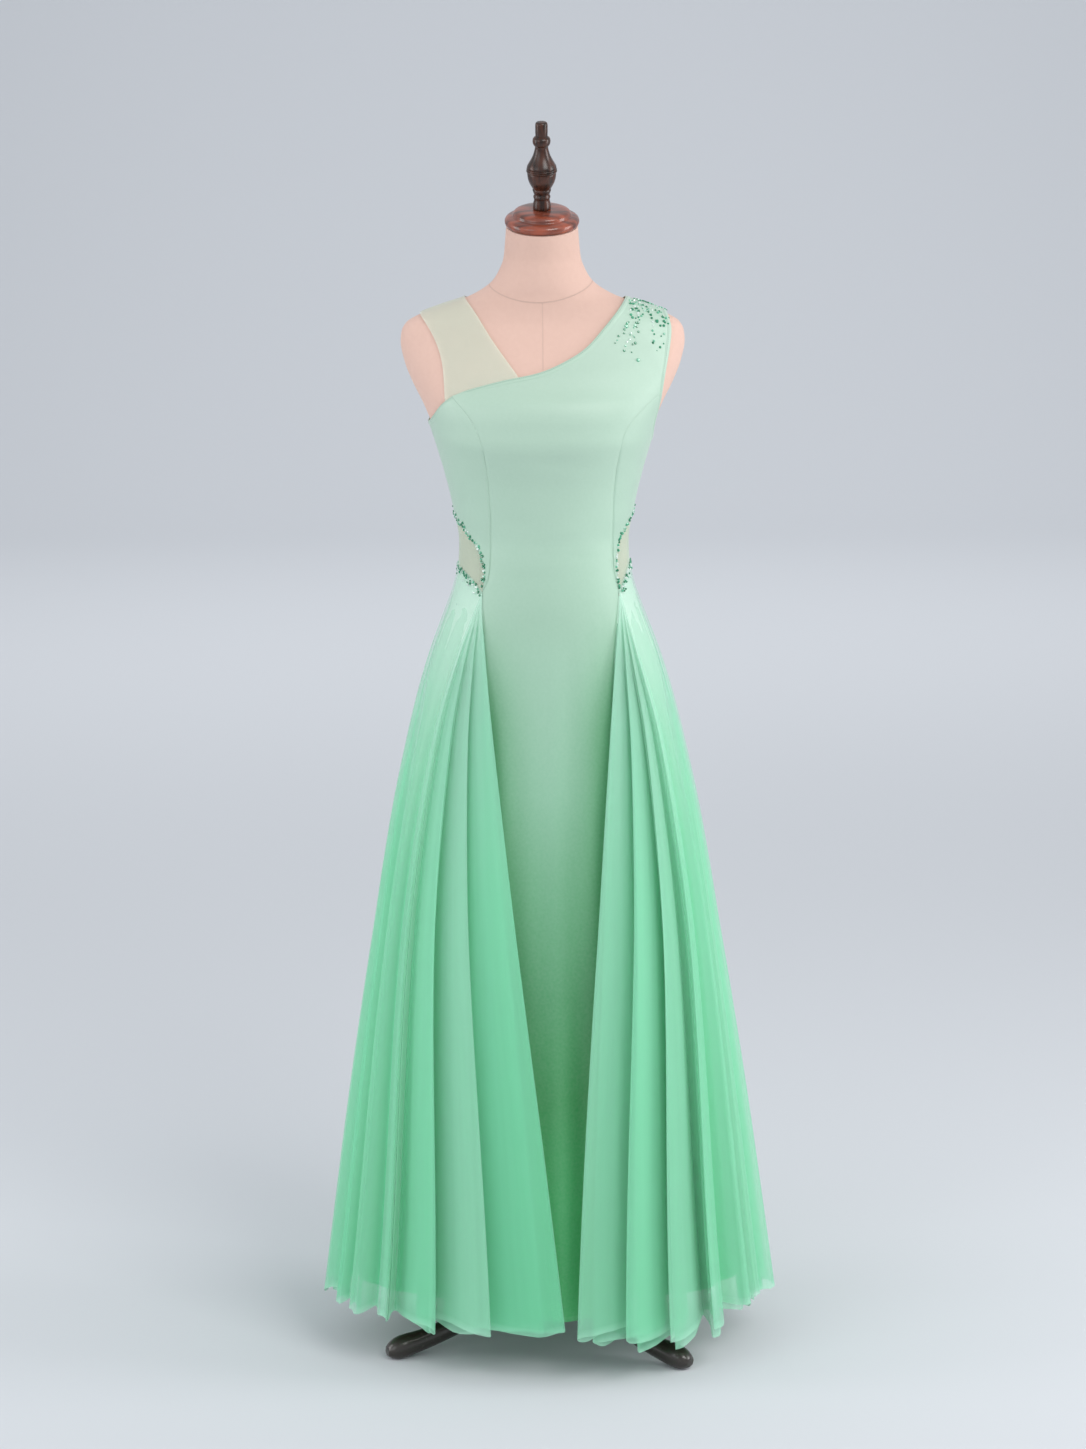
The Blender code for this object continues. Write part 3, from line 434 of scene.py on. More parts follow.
def turn_on_lathe(name, sides, turning, base):
    """A turned piece: a disc is drawn up ring by ring, each ring widened or narrowed."""
    deselect()
    bpy.ops.mesh.primitive_circle_add(vertices=sides, radius=turning[0][0], fill_type="NGON",
                                      location=(0, 0, turning[0][1]))
    piece = bpy.context.object
    piece.name = name
    bpy.ops.object.mode_set(mode="EDIT")
    bpy.context.tool_settings.mesh_select_mode = (False, False, True)
    bpy.ops.mesh.select_all(action="SELECT")
    radius, height = turning[0]
    for next_radius, next_height in turning[1:-1]:
        bpy.ops.mesh.extrude_region_move(TRANSFORM_OT_translate={"value": (0, 0, next_height - height)})
        widen = next_radius / radius
        bpy.ops.transform.resize(value=(widen, widen, 1), center_override=(0, 0, next_height))
        radius, height = next_radius, next_height
    bpy.ops.mesh.select_all(action="SELECT")
    bpy.ops.mesh.normals_make_consistent(inside=False)
    bpy.ops.object.mode_set(mode="OBJECT")
    piece.data.transform(Matrix.Translation(piece.location))
    piece.location = (0, 0, 0)
    piece.data.transform(Matrix.Translation(CAP_PLACE) @ Matrix.Rotation(NECK_TILT, 4, "X")
                         @ Matrix.Translation((0, 0, base)))
    bpy.ops.object.shade_smooth_by_angle(angle=math.radians(38))
    return piece


def polished_wood(name, light, dark, roughness, coat, stretch, scale):
    """Wood under polish, with its grain lying across or along the turned piece."""
    wood = Paint(name)
    where = wood.place()
    turned = wood.node("ShaderNodeMapping", {}, {"Vector": where, "Rotation": (-NECK_TILT, 0.0, 0.35),
                                                 "Scale": stretch})
    grain = wood.noise(turned, scale, 6.0)
    fibres = wood.noise(turned, scale * 5, 3.0)
    worn = wood.noise(where, 60.0)
    wood.set({
        "Base Color": wood.mix(wood.node("ShaderNodeMapRange", {}, {0: grain, 1: 0.36, 2: 0.64}),
                               dark, light),
        "Roughness": roughness + worn * 0.10,
        "Normal": wood.bump(fibres, 0.00004),
        "Coat Weight": coat,
        "Coat Roughness": 0.08,
    })
    return wood.material


cap = turn_on_lathe("turned_cap", CAP_SIDES, CAP_TURNING, 0.0)
cap.data.materials.append(polished_wood("cap_wood", (0.34, 0.070, 0.030), (0.090, 0.022, 0.012),
                                        0.28, 0.55, (1.0, 5.0, 5.0), 22.0))
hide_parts("neck_cap")
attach(cap, "root")
finial = turn_on_lathe("turned_finial", FINIAL_SIDES, FINIAL_TURNING, FINIAL_BASE)
finial.data.materials.append(polished_wood("finial_wood", (0.075, 0.022, 0.010), (0.016, 0.007, 0.004),
                                           0.22, 0.0, (3.0, 3.0, 0.6), 60.0))
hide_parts("finial")
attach(finial, "root")


# The stand: a steel pole under a round flange, and a hub with three low cast legs, lacquered nearly black.
# Only the padded ends of the legs show below the hem.
lacquer = Paint("stand_lacquer")
lacquer_place = lacquer.place()
dust = lacquer.noise(lacquer_place, 34.0, 4.0)
scuffs = lacquer.node("ShaderNodeMapRange", {},
                      {0: lacquer.noise(lacquer_place, 160.0, 5.0), 1: 0.62, 2: 0.72})
lacquer.set({
    "Base Color": lacquer.mix(scuffs * 0.5, lacquer.mix(dust, (0.016, 0.012, 0.009), (0.032, 0.024, 0.017)),
                              (0.09, 0.08, 0.065)),
    "Roughness": 0.20 + dust * 0.25,
    "Normal": lacquer.bump(dust, 0.0004),
    "Coat Weight": 0.4,
})
for node in ("leg_left", "leg_right", "leg_back"):
    leg = bpy.data.objects.new("cast_" + node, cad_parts[node].data.copy())
    scene.collection.objects.link(leg)
    leg.data.materials.clear()
    leg.data.materials.append(lacquer.material)
    take(leg)
    bpy.ops.object.mode_set(mode="EDIT")
    bpy.ops.mesh.select_all(action="SELECT")
    bpy.ops.mesh.remove_doubles(threshold=0.00002)
    bpy.ops.mesh.tris_convert_to_quads(face_threshold=math.radians(50), shape_threshold=math.radians(50))
    bpy.ops.mesh.normals_make_consistent(inside=False)
    bpy.ops.object.mode_set(mode="OBJECT")
    rounding = leg.modifiers.new("rounding", "SUBSURF")
    rounding.levels = rounding.render_levels = 2
    bpy.ops.object.modifier_apply(modifier="rounding")
    bpy.ops.object.shade_smooth_by_angle(angle=math.radians(50))
    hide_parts(node)
    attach(leg, "root")
for node in ("pole_flange", "stand_pole", "stand_hub"):
    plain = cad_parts[node]
    plain.data.materials.clear()
    plain.data.materials.append(lacquer.material)


# The middle panels: mint stretch satin, front and back cut in one from the shoulder strap to the hem,
# and deeper in colour towards the floor, with a painted shade beside the tulle godets. They are sewn to the
# side panels with plain closed seams.
SATIN_LIFT = 0.0035
WAIST_POINT = 1.060
HEM = 0.078
BLEND_DEPTH = 0.100
# The same columns as the rows of the form
SKIRT_ROWS = (
    (1.060, 0.1225, 0.0985, 0.1000, 0.0, 2.1),
    (1.012, 0.1400, 0.1055, 0.1160, 0.0, 2.2),
    (0.971, 0.1535, 0.1095, 0.1280, 0.0, 2.2),
    (0.930, 0.1650, 0.1125, 0.1370, 0.0, 2.2),
    (0.888, 0.1750, 0.1155, 0.1420, 0.0, 2.2),
    (0.847, 0.1835, 0.1185, 0.1460, 0.0, 2.2),
    (0.764, 0.1990, 0.1245, 0.1530, 0.0, 2.2),
    (0.680, 0.2115, 0.1305, 0.1590, 0.0, 2.2),
    (0.596, 0.2225, 0.1360, 0.1645, 0.0, 2.2),
    (0.512, 0.2340, 0.1415, 0.1690, 0.0, 2.2),
    (0.341, 0.2555, 0.1510, 0.1780, 0.0, 2.2),
    (0.168, 0.2745, 0.1600, 0.1860, 0.0, 2.2),
    (0.040, 0.2880, 0.1665, 0.1920, 0.0, 2.2),
)
NECKLINE = ((0.1106, None), (0.0850, 1.4130), (0.0594, 1.3850), (0.0331, 1.3680), (-0.0040, 1.3525),
            (-0.0550, 1.3420), (-0.0970, 1.3310), (-0.1200, 1.3220))
NECKLINE_SIDE = ((-0.1200, 1.3220), (-0.1340, 1.3110), (-0.1440, 1.2980), (None, 1.2850))
ARMHOLE = ((0.1650, None), (0.1715, 1.4060), (0.1690, 1.3800), (0.1625, 1.3480), (0.1580, 1.3250))
ARMHOLE_SIDE = ((0.1580, 1.3250), (0.1530, 1.3020), (0.1480, 1.2800), (None, 1.2620))
PRINCESS_LEFT = ((-0.1200, 1.3220), (-0.0970, 1.2960), (-0.0820, 1.2640), (-0.0765, 1.2350),
                 (-0.0730, 1.2000), (-0.0710, 1.1560), (-0.0715, 1.1160), (-0.0745, 1.0800),
                 (-0.0832, WAIST_POINT))
PRINCESS_RIGHT = ((0.1580, 1.3250), (0.1310, 1.3040), (0.1080, 1.2760), (0.0995, 1.2400),
                  (0.0940, 1.1970), (0.0925, 1.1430), (0.0925, 1.1150), (0.0940, 1.0850),
                  (0.1008, WAIST_POINT))
# Height, then x of the four seams of the front from left to right
SKIRT_SEAMS = (
    (WAIST_POINT, -0.0832, -0.0832, 0.1008, 0.1008),
    (0.980, -0.0835, -0.1160, 0.0960, 0.1250),
    (0.870, -0.0840, -0.1500, 0.0930, 0.1560),
    (0.600, -0.0840, -0.1950, 0.0960, 0.1970),
    (HEM, -0.0850, -0.2350, 0.1150, 0.2350),
    (0.040, -0.0855, -0.2390, 0.1175, 0.2390),
)
SATIN_WALL = 0.0007
PRINCESS_TOP = 1.262
TONE_TOP = 1.45
# Colour of the painted shade multiplied into the skirt of the middle panels beside the godets.
PANEL_SHADE = (0.34, 0.66, 0.42)
# Colours of the satin by share of its height, darker towards the hem.
SATIN_HEIGHT_TONES = ((0.06, (0.100, 0.580, 0.212)), (0.16, (0.095, 0.545, 0.200)), (0.26, (0.058, 0.360, 0.115)),
             (0.36, (0.094, 0.370, 0.160)), (0.45, (0.168, 0.460, 0.250)), (0.55, (0.276, 0.548, 0.367)),
             (0.66, (0.335, 0.565, 0.412)), (0.71, (0.345, 0.550, 0.410)), (0.78, (0.420, 0.615, 0.480)),
             (0.90, (0.440, 0.612, 0.488)), (0.97, (0.470, 0.640, 0.515)))


def unit(vectors):
    return vectors / np.maximum(np.linalg.norm(vectors, axis=-1, keepdims=True), 1e-12)


skirt_sections = Sections(SKIRT_ROWS)
skirt_seams = Sections(SKIRT_SEAMS)


def dress_point(angle, height, lift=SATIN_LIFT):
    """Points of the dress without its folds, held off the form or hanging from it."""
    height = np.asarray(height, float)
    step = 0.0006
    worn = section_point(form_sections, angle, height)
    round_the_body = section_point(form_sections, angle + step, height) - worn
    up_the_body = (section_point(form_sections, angle, height + step)
                   - section_point(form_sections, angle, height - step))
    worn = worn + unit(np.cross(round_the_body, up_the_body)) * lift
    share = eased((WAIST_POINT - height) / BLEND_DEPTH)[..., None]
    hanging = section_point(skirt_sections, angle, height)
    hanging = hanging + unit(hanging * (1, 1, 0)) * (lift - SATIN_LIFT)
    return worn * (1 - share) + hanging * share


def reach(height):
    """Half width of the dress at a height."""
    return dress_point(np.full(np.shape(height), math.pi / 2), height)[..., 0]


def ridge(x):
    """Height of the shoulder line at a distance from the middle."""
    heights = np.linspace(1.541, 1.400, 400)
    return float(np.interp(abs(x), reach(heights), heights))


def angle_at(x, height):
    """Angle of the point of the dress's front that lies at x."""
    x, height = np.broadcast_arrays(np.asarray(x, float), np.asarray(height, float))
    share = eased((WAIST_POINT - height) / BLEND_DEPTH)
    power = form_sections.at(height)[4] * (1 - share) + skirt_sections.at(height)[4] * share
    across = np.minimum(np.abs(x) / reach(height), 1.0)
    ahead = np.maximum(1 - across**power, 0.0) ** (1 / power)
    return np.copysign(np.arctan2(across, ahead), x)


def cut_path(points, places):
    """Angles and heights at given shares of the length of a smooth cut line on the dress."""
    sign = math.copysign(1, sum(x for x, _ in points if x is not None))
    filled = []
    for x, height in points:
        height = ridge(x) if height is None else height
        filled.append((sign * float(reach(np.array(height))) if x is None else x, height))
    line = np.array(filled)
    padded = np.vstack((2 * line[0] - line[1], line, 2 * line[-1] - line[-2]))
    t = np.linspace(0, 1, 60, endpoint=False)[:, None]
    spans = [0.5 * (2 * b + (c - a) * t + (2 * a - 5 * b + 4 * c - d) * t**2
                    + (3 * b - a - 3 * c + d) * t**3)
             for a, b, c, d in zip(padded, padded[1:], padded[2:], padded[3:])]
    fine = np.vstack((*spans, line[-1:]))
    turned = np.stack((angle_at(fine[:, 0], fine[:, 1]), fine[:, 1]), axis=1)
    run = np.linalg.norm(np.diff(dress_point(turned[:, 0], turned[:, 1]), axis=0), axis=1)
    lengths = np.concatenate(([0], np.cumsum(run)))
    wanted = np.asarray(places) * lengths[-1]
    return np.stack([np.interp(wanted, lengths, column) for column in turned.T], axis=1)


def between_edges(left, right, top, bottom, across):
    """Angles and heights between four edges that share their corners."""
    s = np.linspace(0, 1, len(left))[:, None, None]
    t = np.asarray(across)[None, :, None]
    corners = ((1 - s) * (1 - t) * top[0] + (1 - s) * t * top[-1]
               + s * (1 - t) * bottom[0] + s * t * bottom[-1])
    return (1 - t) * left[:, None] + t * right[:, None] + (1 - s) * top[None] + s * bottom[None] - corners


def seam_roll(across, width):
    """How far a panel sinks beside the seams at its two edges."""
    beside = np.minimum(across, 1 - across) * width
    return -0.0011 * np.exp(-(beside / 0.0032) ** 2)


def eased_columns(count):
    """Places across a panel, closer together beside its seams."""
    even = np.linspace(0, 1, count)
    return even - np.sin(2 * math.pi * even) / (2 * math.pi) * 0.72


def soft_waves(u, v, waves):
    """Soft troughs and ridges, each with its height, its middle, its width, its length and its slant."""
    total = np.zeros(np.broadcast(u, v).shape)
    for height, middle_u, middle_v, wide, long, slant in waves:
        side = (u - middle_u) * math.cos(slant) * 0.12 + (v - middle_v) * math.sin(slant)
        along = (v - middle_v) * math.cos(slant) - (u - middle_u) * math.sin(slant) * 0.12
        total = total + height * np.exp(-(side / wide) ** 2 - (along / long) ** 2)
    return total


def push_out(grid, amount):
    """The grid moved along its own outward direction."""
    down = np.gradient(grid, axis=0)
    round_it = np.gradient(grid, axis=1)
    return grid + unit(np.cross(down, round_it)) * np.asarray(amount)[..., None]


def satin_paint(name, stops):
    satin = Paint(name)
    where = satin.place()
    along, down, _ = satin.parts(satin.cut())
    ribs = (along * (2 * math.pi / 0.0008)).sine() + (down * (2 * math.pi / 0.0010)).sine() * 0.5
    cloudy = satin.noise(where, 6.0, 3.0)
    lint = satin.noise(where, 260.0, 3.0)
    height = (satin.parts(where)[2] + (cloudy - 0.5) * 0.04) / TONE_TOP
    # The colour by height, multiplied by the painted shade beside the godets.
    base_tone = satin.mix(satin.fact("deep"), satin.ramp(height, stops), PANEL_SHADE, "MULTIPLY")
    satin.set({
        "Base Color": satin.mix(lint * 0.12, base_tone, (0.72, 0.86, 0.78)),
        "Roughness": 0.36 + cloudy * 0.08 + lint * 0.05,
        "Normal": satin.bump(ribs * 0.4 + lint * 1.5 + cloudy * 8.0, 0.00005),
        "Sheen Weight": 0.25,
        "Sheen Roughness": 0.35,
        "Specular IOR Level": 0.50,
    })
    return satin.material


# Creases of the satin: height, angle and height of the middle, width, length, slant
FRONT_CREASES = (
    (-0.0010, 0.20, 1.2350, 0.010, 0.050, 1.45), (0.0008, -0.30, 1.2460, 0.009, 0.040, 1.62),
    (-0.0008, -0.35, 1.1560, 0.010, 0.030, 1.40), (0.0008, 0.25, 1.1420, 0.009, 0.035, 1.66),
    (-0.0008, 0.45, 1.1080, 0.008, 0.030, 1.52), (0.0008, -0.20, 1.0950, 0.010, 0.040, 1.60),
    (0.0010, 0.90, 1.3700, 0.010, 0.035, 0.60), (-0.0010, 1.05, 1.3500, 0.009, 0.030, 0.45),
    (0.0055, 0.00, 1.3070, 0.017, 0.090, 1.57),
)


def hang_panel(back, creases):
    """The middle panel: its bodice between cut edges, and below the waist between the skirt seams."""
    across = eased_columns(58)
    strap, bodice = np.linspace(0, 1, 46), np.linspace(0, 1, 58)[1:]
    left = np.vstack((cut_path(NECKLINE, strap), cut_path(PRINCESS_LEFT, bodice)))
    right = np.vstack((cut_path(ARMHOLE, strap), cut_path(PRINCESS_RIGHT, bodice)))
    top = left[0] + (right[0] - left[0]) * across[:, None]
    bottom = left[-1] + (right[-1] - left[-1]) * across[:, None]
    upper = between_edges(left, right, top, bottom, across)
    heights = np.linspace(WAIST_POINT, HEM, 121)[1:]
    seams = skirt_seams.at(heights)
    first, last = angle_at(seams[0], heights), angle_at(seams[2], heights)
    lower = np.stack((first[:, None] + (last - first)[:, None] * across,
                      np.broadcast_to(heights[:, None], (len(heights), len(across)))), axis=-1)
    flat = np.concatenate((upper, lower))
    angle, height = flat[..., 0], flat[..., 1]
    grid = dress_point(math.pi - angle if back else angle, height)
    if back:
        grid, angle, height = grid[:, ::-1], angle[:, ::-1], height[:, ::-1]
        across = 1 - across[::-1]
    width = np.linalg.norm(grid[:, 0] - grid[:, -1], axis=-1)[:, None]
    below = np.clip((WAIST_POINT - height) / (WAIST_POINT - HEM), 0, 1)
    seamed = np.clip((PRINCESS_TOP - height) / 0.02, 0.25, 1)
    swing = (0.0045 * np.sin(19 * angle + 0.8) + 0.0030 * np.sin(31 * angle - 1.1)) * below**1.3
    beside = np.minimum(across, 1 - across) * width
    # Painted shade on the skirt, deepest beside the godets where the panel sinks under the tulle.
    deep = eased(below * 5) * np.exp(-(beside / (0.037 + 0.054 * below)) ** 2)
    sunk = -0.0012 * np.clip(below / 0.06, 0, 1) - 0.0055 * eased(below * 3) * np.exp(-(beside / 0.022) ** 2)
    creased = soft_waves(angle, height, creases)
    return push_out(grid, seam_roll(across, width) * seamed + swing + sunk + creased), {"deep": deep}


satin = satin_paint("mint_satin", SATIN_HEIGHT_TONES)
for panel_name, node, on_back, creases in (("front_satin_panel", "front_panel", False, FRONT_CREASES),
                                          ("back_satin_panel", "back_panel", True, FRONT_CREASES[2:6])):
    panel = lay_cloth(panel_name, *hang_panel(on_back, creases), thickness=SATIN_WALL)
    panel.data.materials.append(satin)
    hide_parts(node)
    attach(panel, "root")


# The side panels of the bodice: the same satin, front and back, from the armhole to the waist cut-out.
# They meet in a seam under the arm.
CUTOUT_TOP_LEFT = ((-0.0832, WAIST_POINT), (-0.0800, 1.0780), (-0.0812, 1.0960), (-0.0868, 1.1120),
                   (-0.0950, 1.1260), (-0.1060, 1.1400), (None, 1.1540))
CUTOUT_BASE_LEFT = ((-0.0832, WAIST_POINT), (-0.0915, 1.0700), (-0.1010, 1.0800), (None, 1.0900))
CUTOUT_TOP_RIGHT = ((0.1008, WAIST_POINT), (0.0985, 1.0760), (0.0975, 1.0950), (0.0985, 1.1130),
                    (0.1030, 1.1290), (0.1100, 1.1430), (None, 1.1570))
CUTOUT_BASE_RIGHT = ((0.1008, WAIST_POINT), (0.1060, 1.0700), (0.1110, 1.0810), (None, 1.0930))
SIDE_CREASES = ((-0.0008, 1.10, 1.2300, 0.008, 0.030, 1.40), (0.0008, 1.20, 1.2080, 0.007, 0.030, 1.60),
                (-0.0007, 1.00, 1.1800, 0.008, 0.025, 1.70), (0.0055, 0.00, 1.3070, 0.017, 0.090, 1.57))
SIDES = (("left", PRINCESS_LEFT, NECKLINE_SIDE, CUTOUT_TOP_LEFT, (0.145, 0.29), 0.021),
         ("right", PRINCESS_RIGHT, ARMHOLE_SIDE, CUTOUT_TOP_RIGHT, (0.132, 0.31), 0.016))
for side, princess, top_edge, cutout, cut_size, cut_area in SIDES:
    for where, back in (("front", False), ("back", True)):
        across = eased_columns(26)
        down = np.linspace(0, 1, 52)
        middle = cut_path(princess, down)
        top = cut_path(top_edge, across)
        bottom = cut_path(cutout, across)
        outer = top[-1] + (bottom[-1] - top[-1]) * down[:, None]
        flat = between_edges(middle, outer, top, bottom, across)
        angle, height = flat[..., 0], flat[..., 1]
        grid = dress_point(math.pi - angle if back else angle, height)
        if (side == "left") != back:
            grid, angle, height = grid[:, ::-1], angle[:, ::-1], height[:, ::-1]
            across = 1 - across[::-1]
        width = np.linalg.norm(grid[:, 0] - grid[:, -1], axis=-1)[:, None]
        seamed = np.clip((PRINCESS_TOP - height) / 0.02, 0.25, 1)
        creased = soft_waves(np.abs(angle), height, SIDE_CREASES)
        grid = push_out(grid, seam_roll(across, width) * seamed + creased)
        panel = lay_cloth("side_" + where + "_satin_" + side, grid, thickness=SATIN_WALL)
        panel.data.materials.append(satin)
        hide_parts("side_" + where + "_" + side)
        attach(panel, "root")


# The sheer pieces: pale green stretch mesh over one shoulder and in the waist cut-outs.
# It is fine enough to see the form through, and lies flat against it.
YOKE_ARM = ((-0.1640, None), (-0.1520, 1.4090), (-0.1405, 1.3860), (-0.1340, 1.3630),
            (-0.1315, 1.3390), (-0.1300, 1.3144))
YOKE_NECK = ((-0.1040, None), (-0.0890, 1.4290), (-0.0705, 1.3990), (-0.0520, 1.3730),
             (-0.0325, 1.3472))
MESH_LIFT = 0.0026
MESH_PITCH = 0.0009


def sheer_paint(name, colour, cover):
    """Stretch mesh, drawn as a fine net that covers part of what is under it."""
    net = Paint(name)
    along, down, _ = net.parts(net.cut())
    turn = 2 * math.pi / MESH_PITCH
    holes = ((along + down) * turn).sine() * ((along - down) * turn).sine()
    uneven = net.noise(net.place(), 30.0, 3.0)
    net.set({
        "Base Color": net.mix(uneven, colour, tuple(0.88 * part for part in colour)),
        "Alpha": cover + holes * 0.08 + (uneven - 0.5) * 0.10,
        "Roughness": 0.65 + uneven * 0.15,
        "Normal": net.bump(holes, 0.00008),
        "Sheen Weight": 0.25,
    })
    return net.material


def both_halves(flat):
    """The front and the back of a sheer piece that is the same on both sides."""
    return (dress_point(flat[..., 0], flat[..., 1], MESH_LIFT),
            dress_point(math.pi - flat[..., 0], flat[..., 1], MESH_LIFT))


nude_mesh = sheer_paint("nude_mesh", (0.86, 0.93, 0.76), 0.64)
yoke_down, yoke_across = np.linspace(0, 1, 34), np.linspace(0, 1, 26)
arm, neck = cut_path(YOKE_ARM, yoke_down), cut_path(YOKE_NECK, yoke_down)
neckline = np.vstack((cut_path(NECKLINE, np.linspace(0, 1, 80)),
                      cut_path(NECKLINE_SIDE, np.linspace(0, 1, 40))[1:]))[::-1]
edge_angles = arm[-1][0] + (neck[-1][0] - arm[-1][0]) * yoke_across
edge = np.stack((edge_angles, np.interp(edge_angles, neckline[:, 0], neckline[:, 1])), axis=1)
arm[-1], neck[-1] = edge[0], edge[-1]
top = arm[0] + (neck[0] - arm[0]) * yoke_across[:, None]
flat = between_edges(arm, neck, top, edge, yoke_across)
front_half, back_half = both_halves(flat)
yoke = lay_cloth("sheer_yoke", np.concatenate((front_half[::-1], back_half[1:]))[:, ::-1])
yoke.data.materials.append(nude_mesh)
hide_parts("mesh_yoke")
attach(yoke, "root")
inset_mesh = sheer_paint("inset_mesh", (0.68, 0.83, 0.64), 0.72)
INSETS = (("left", CUTOUT_TOP_LEFT, CUTOUT_BASE_LEFT, (0.29, 0.064), 0.0092),
          ("right", CUTOUT_TOP_RIGHT, CUTOUT_BASE_RIGHT, (0.26, 0.064), 0.0073))
for side, top_line, base_line, cut_size, cut_area in INSETS:
    across = np.linspace(0, 1, 30)
    upper, base = cut_path(top_line, across), cut_path(base_line, across)
    part = np.linspace(0, 1, 14)[:, None, None]
    flat = upper[None] + (base - upper)[None] * part
    front_half, back_half = both_halves(flat)
    whole = np.concatenate((front_half, back_half[:, -2::-1]), axis=1)
    inset = lay_cloth("sheer_inset_" + side, whole if side == "right" else whole[:, ::-1])
    inset.data.materials.append(inset_mesh)
    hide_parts("waist_inset_" + side)
    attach(inset, "root")


# The slip: a plain satin skirt under the tulle, sewn into the waist seam and a little shorter than the net.
# It shows pale through one ply at the hips and keeps the skirt from being seen through.
SLIP_TOP = 1.052
SLIP_HEM = 0.100
SLIP_COLUMNS = 240
SLIP_ROWS = 90
SLIP_SEAM_ROOM = 0.0015
SLIP_ROOM = 0.0027
SLIP_DEPTH = 0.006
SLIP_FALL = 0.010
SLIP_WAVES = ((0.0035, 9, 0.4), (0.0025, 14, 2.0), (0.0018, 23, 4.1))
SLIP_DYE = ((0.06, (0.240, 0.760, 0.450)), (0.25, (0.270, 0.780, 0.480)), (0.45, (0.340, 0.800, 0.530)),
            (0.58, (0.480, 0.820, 0.610)), (0.66, (0.630, 0.830, 0.705)), (0.90, (0.650, 0.830, 0.715)))
slip_angles = np.linspace(-math.pi, math.pi, SLIP_COLUMNS, endpoint=False)[None, :]
slip_tops = np.full(SLIP_COLUMNS, SLIP_TOP)
for base_line, sign in ((CUTOUT_BASE_LEFT, -1), (CUTOUT_BASE_RIGHT, 1)):
    seam = np.abs(cut_path(base_line, np.linspace(0, 1, 40)))
    from_middle = np.abs(slip_angles[0])
    on_front = np.minimum(from_middle, math.pi - from_middle)
    at_side = (slip_angles[0] * sign > 0) & (on_front > seam[0, 0])
    side_tops = np.interp(on_front, seam[:, 0], seam[:, 1]) - SLIP_SEAM_ROOM
    slip_tops = np.where(at_side, side_tops, slip_tops)
slip_share = np.linspace(0, 1, SLIP_ROWS)[:, None]
slip_heights = slip_tops[None, :] + (SLIP_HEM - slip_tops[None, :]) * slip_share
slip_wave = sum(size * np.sin(count * slip_angles + shift) for size, count, shift in SLIP_WAVES)
slip_inset = SLIP_ROOM + SLIP_DEPTH * eased((0.985 - slip_heights) / 0.12) + SLIP_FALL * slip_share**1.5
slip_points = dress_point(slip_angles, slip_heights, SATIN_LIFT)
slip_out = unit(slip_points * (1, 1, 0))
slip_points = slip_points + slip_out * (slip_wave * slip_share**1.6 - slip_inset)[..., None]
slip = lay_cloth("satin_slip", slip_points, closed=True)
slip.data.materials.append(satin_paint("slip_satin", SLIP_DYE))
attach(slip, "root")


# The tulle: godets let into the four long skirt seams, and a gathered panel at each side.
# Each is two plies of soft green net, so that the folds look deeper where plies lie over each other.
# Share of the width, height, lean and hem dip of each fold
FOLDS_FRONT_LEFT = ((0.36, 0.050, 0.135, 0.002), (0.24, 0.055, 0.092, 0.000),
                    (0.21, 0.050, 0.060, 0.002), (0.19, 0.038, 0.022, -0.002))
FOLDS_FRONT_RIGHT = ((0.36, 0.062, 0.104, 0.004), (0.22, 0.076, 0.086, 0.008),
                     (0.20, 0.074, 0.062, 0.012), (0.22, 0.056, 0.030, 0.010))
FOLDS_SIDE_LEFT = ((0.15, 0.026, 0.008, 0.000), (0.18, 0.030, -0.006, 0.003), (0.16, 0.024, 0.004, 0.000),
                   (0.19, 0.027, -0.004, 0.004), (0.15, 0.022, 0.006, 0.000), (0.17, 0.027, 0.000, 0.002))
FOLDS_SIDE_RIGHT = ((0.17, 0.027, 0.008, 0.002), (0.15, 0.022, -0.004, 0.000), (0.19, 0.028, 0.004, 0.004),
                    (0.16, 0.024, 0.006, 0.000), (0.18, 0.027, -0.006, 0.003), (0.15, 0.025, 0.004, 0.000))
FOLDS_BACK_LEFT = ((0.36, 0.030, 0.040, 0.002), (0.34, 0.034, 0.026, 0.000), (0.30, 0.028, 0.010, 0.002))
FOLDS_BACK_RIGHT = ((0.34, 0.032, 0.044, 0.002), (0.32, 0.030, 0.022, 0.003), (0.34, 0.033, 0.012, 0.000))
RIPPLES = ((0.0014, 17.0, 0.4), (0.0010, 31.0, 2.1), (0.0018, 9.0, 4.0))
HEM_RIPPLES = ((0.0042, 5.0, 0.3), (0.0022, 11.0, 1.7))
# How much painted light each fold of the side skirts gets, where it faces the light.
PAINTED_LIGHT_LEFT = (0.15, 0.70, 0.35, 0.55, 0.20, 0.60)
PAINTED_LIGHT_RIGHT = (0.60, 0.95, 0.50, 0.85, 0.45, 0.80)
TULLE_PITCH = 0.0016
TULLE_DYE = ((0.00, (0.240, 0.820, 0.490)), (0.15, (0.260, 0.850, 0.510)), (0.35, (0.290, 0.890, 0.550)),
             (0.60, (0.340, 0.920, 0.600)), (0.80, (0.440, 0.900, 0.660)), (1.00, (0.600, 0.860, 0.720)))


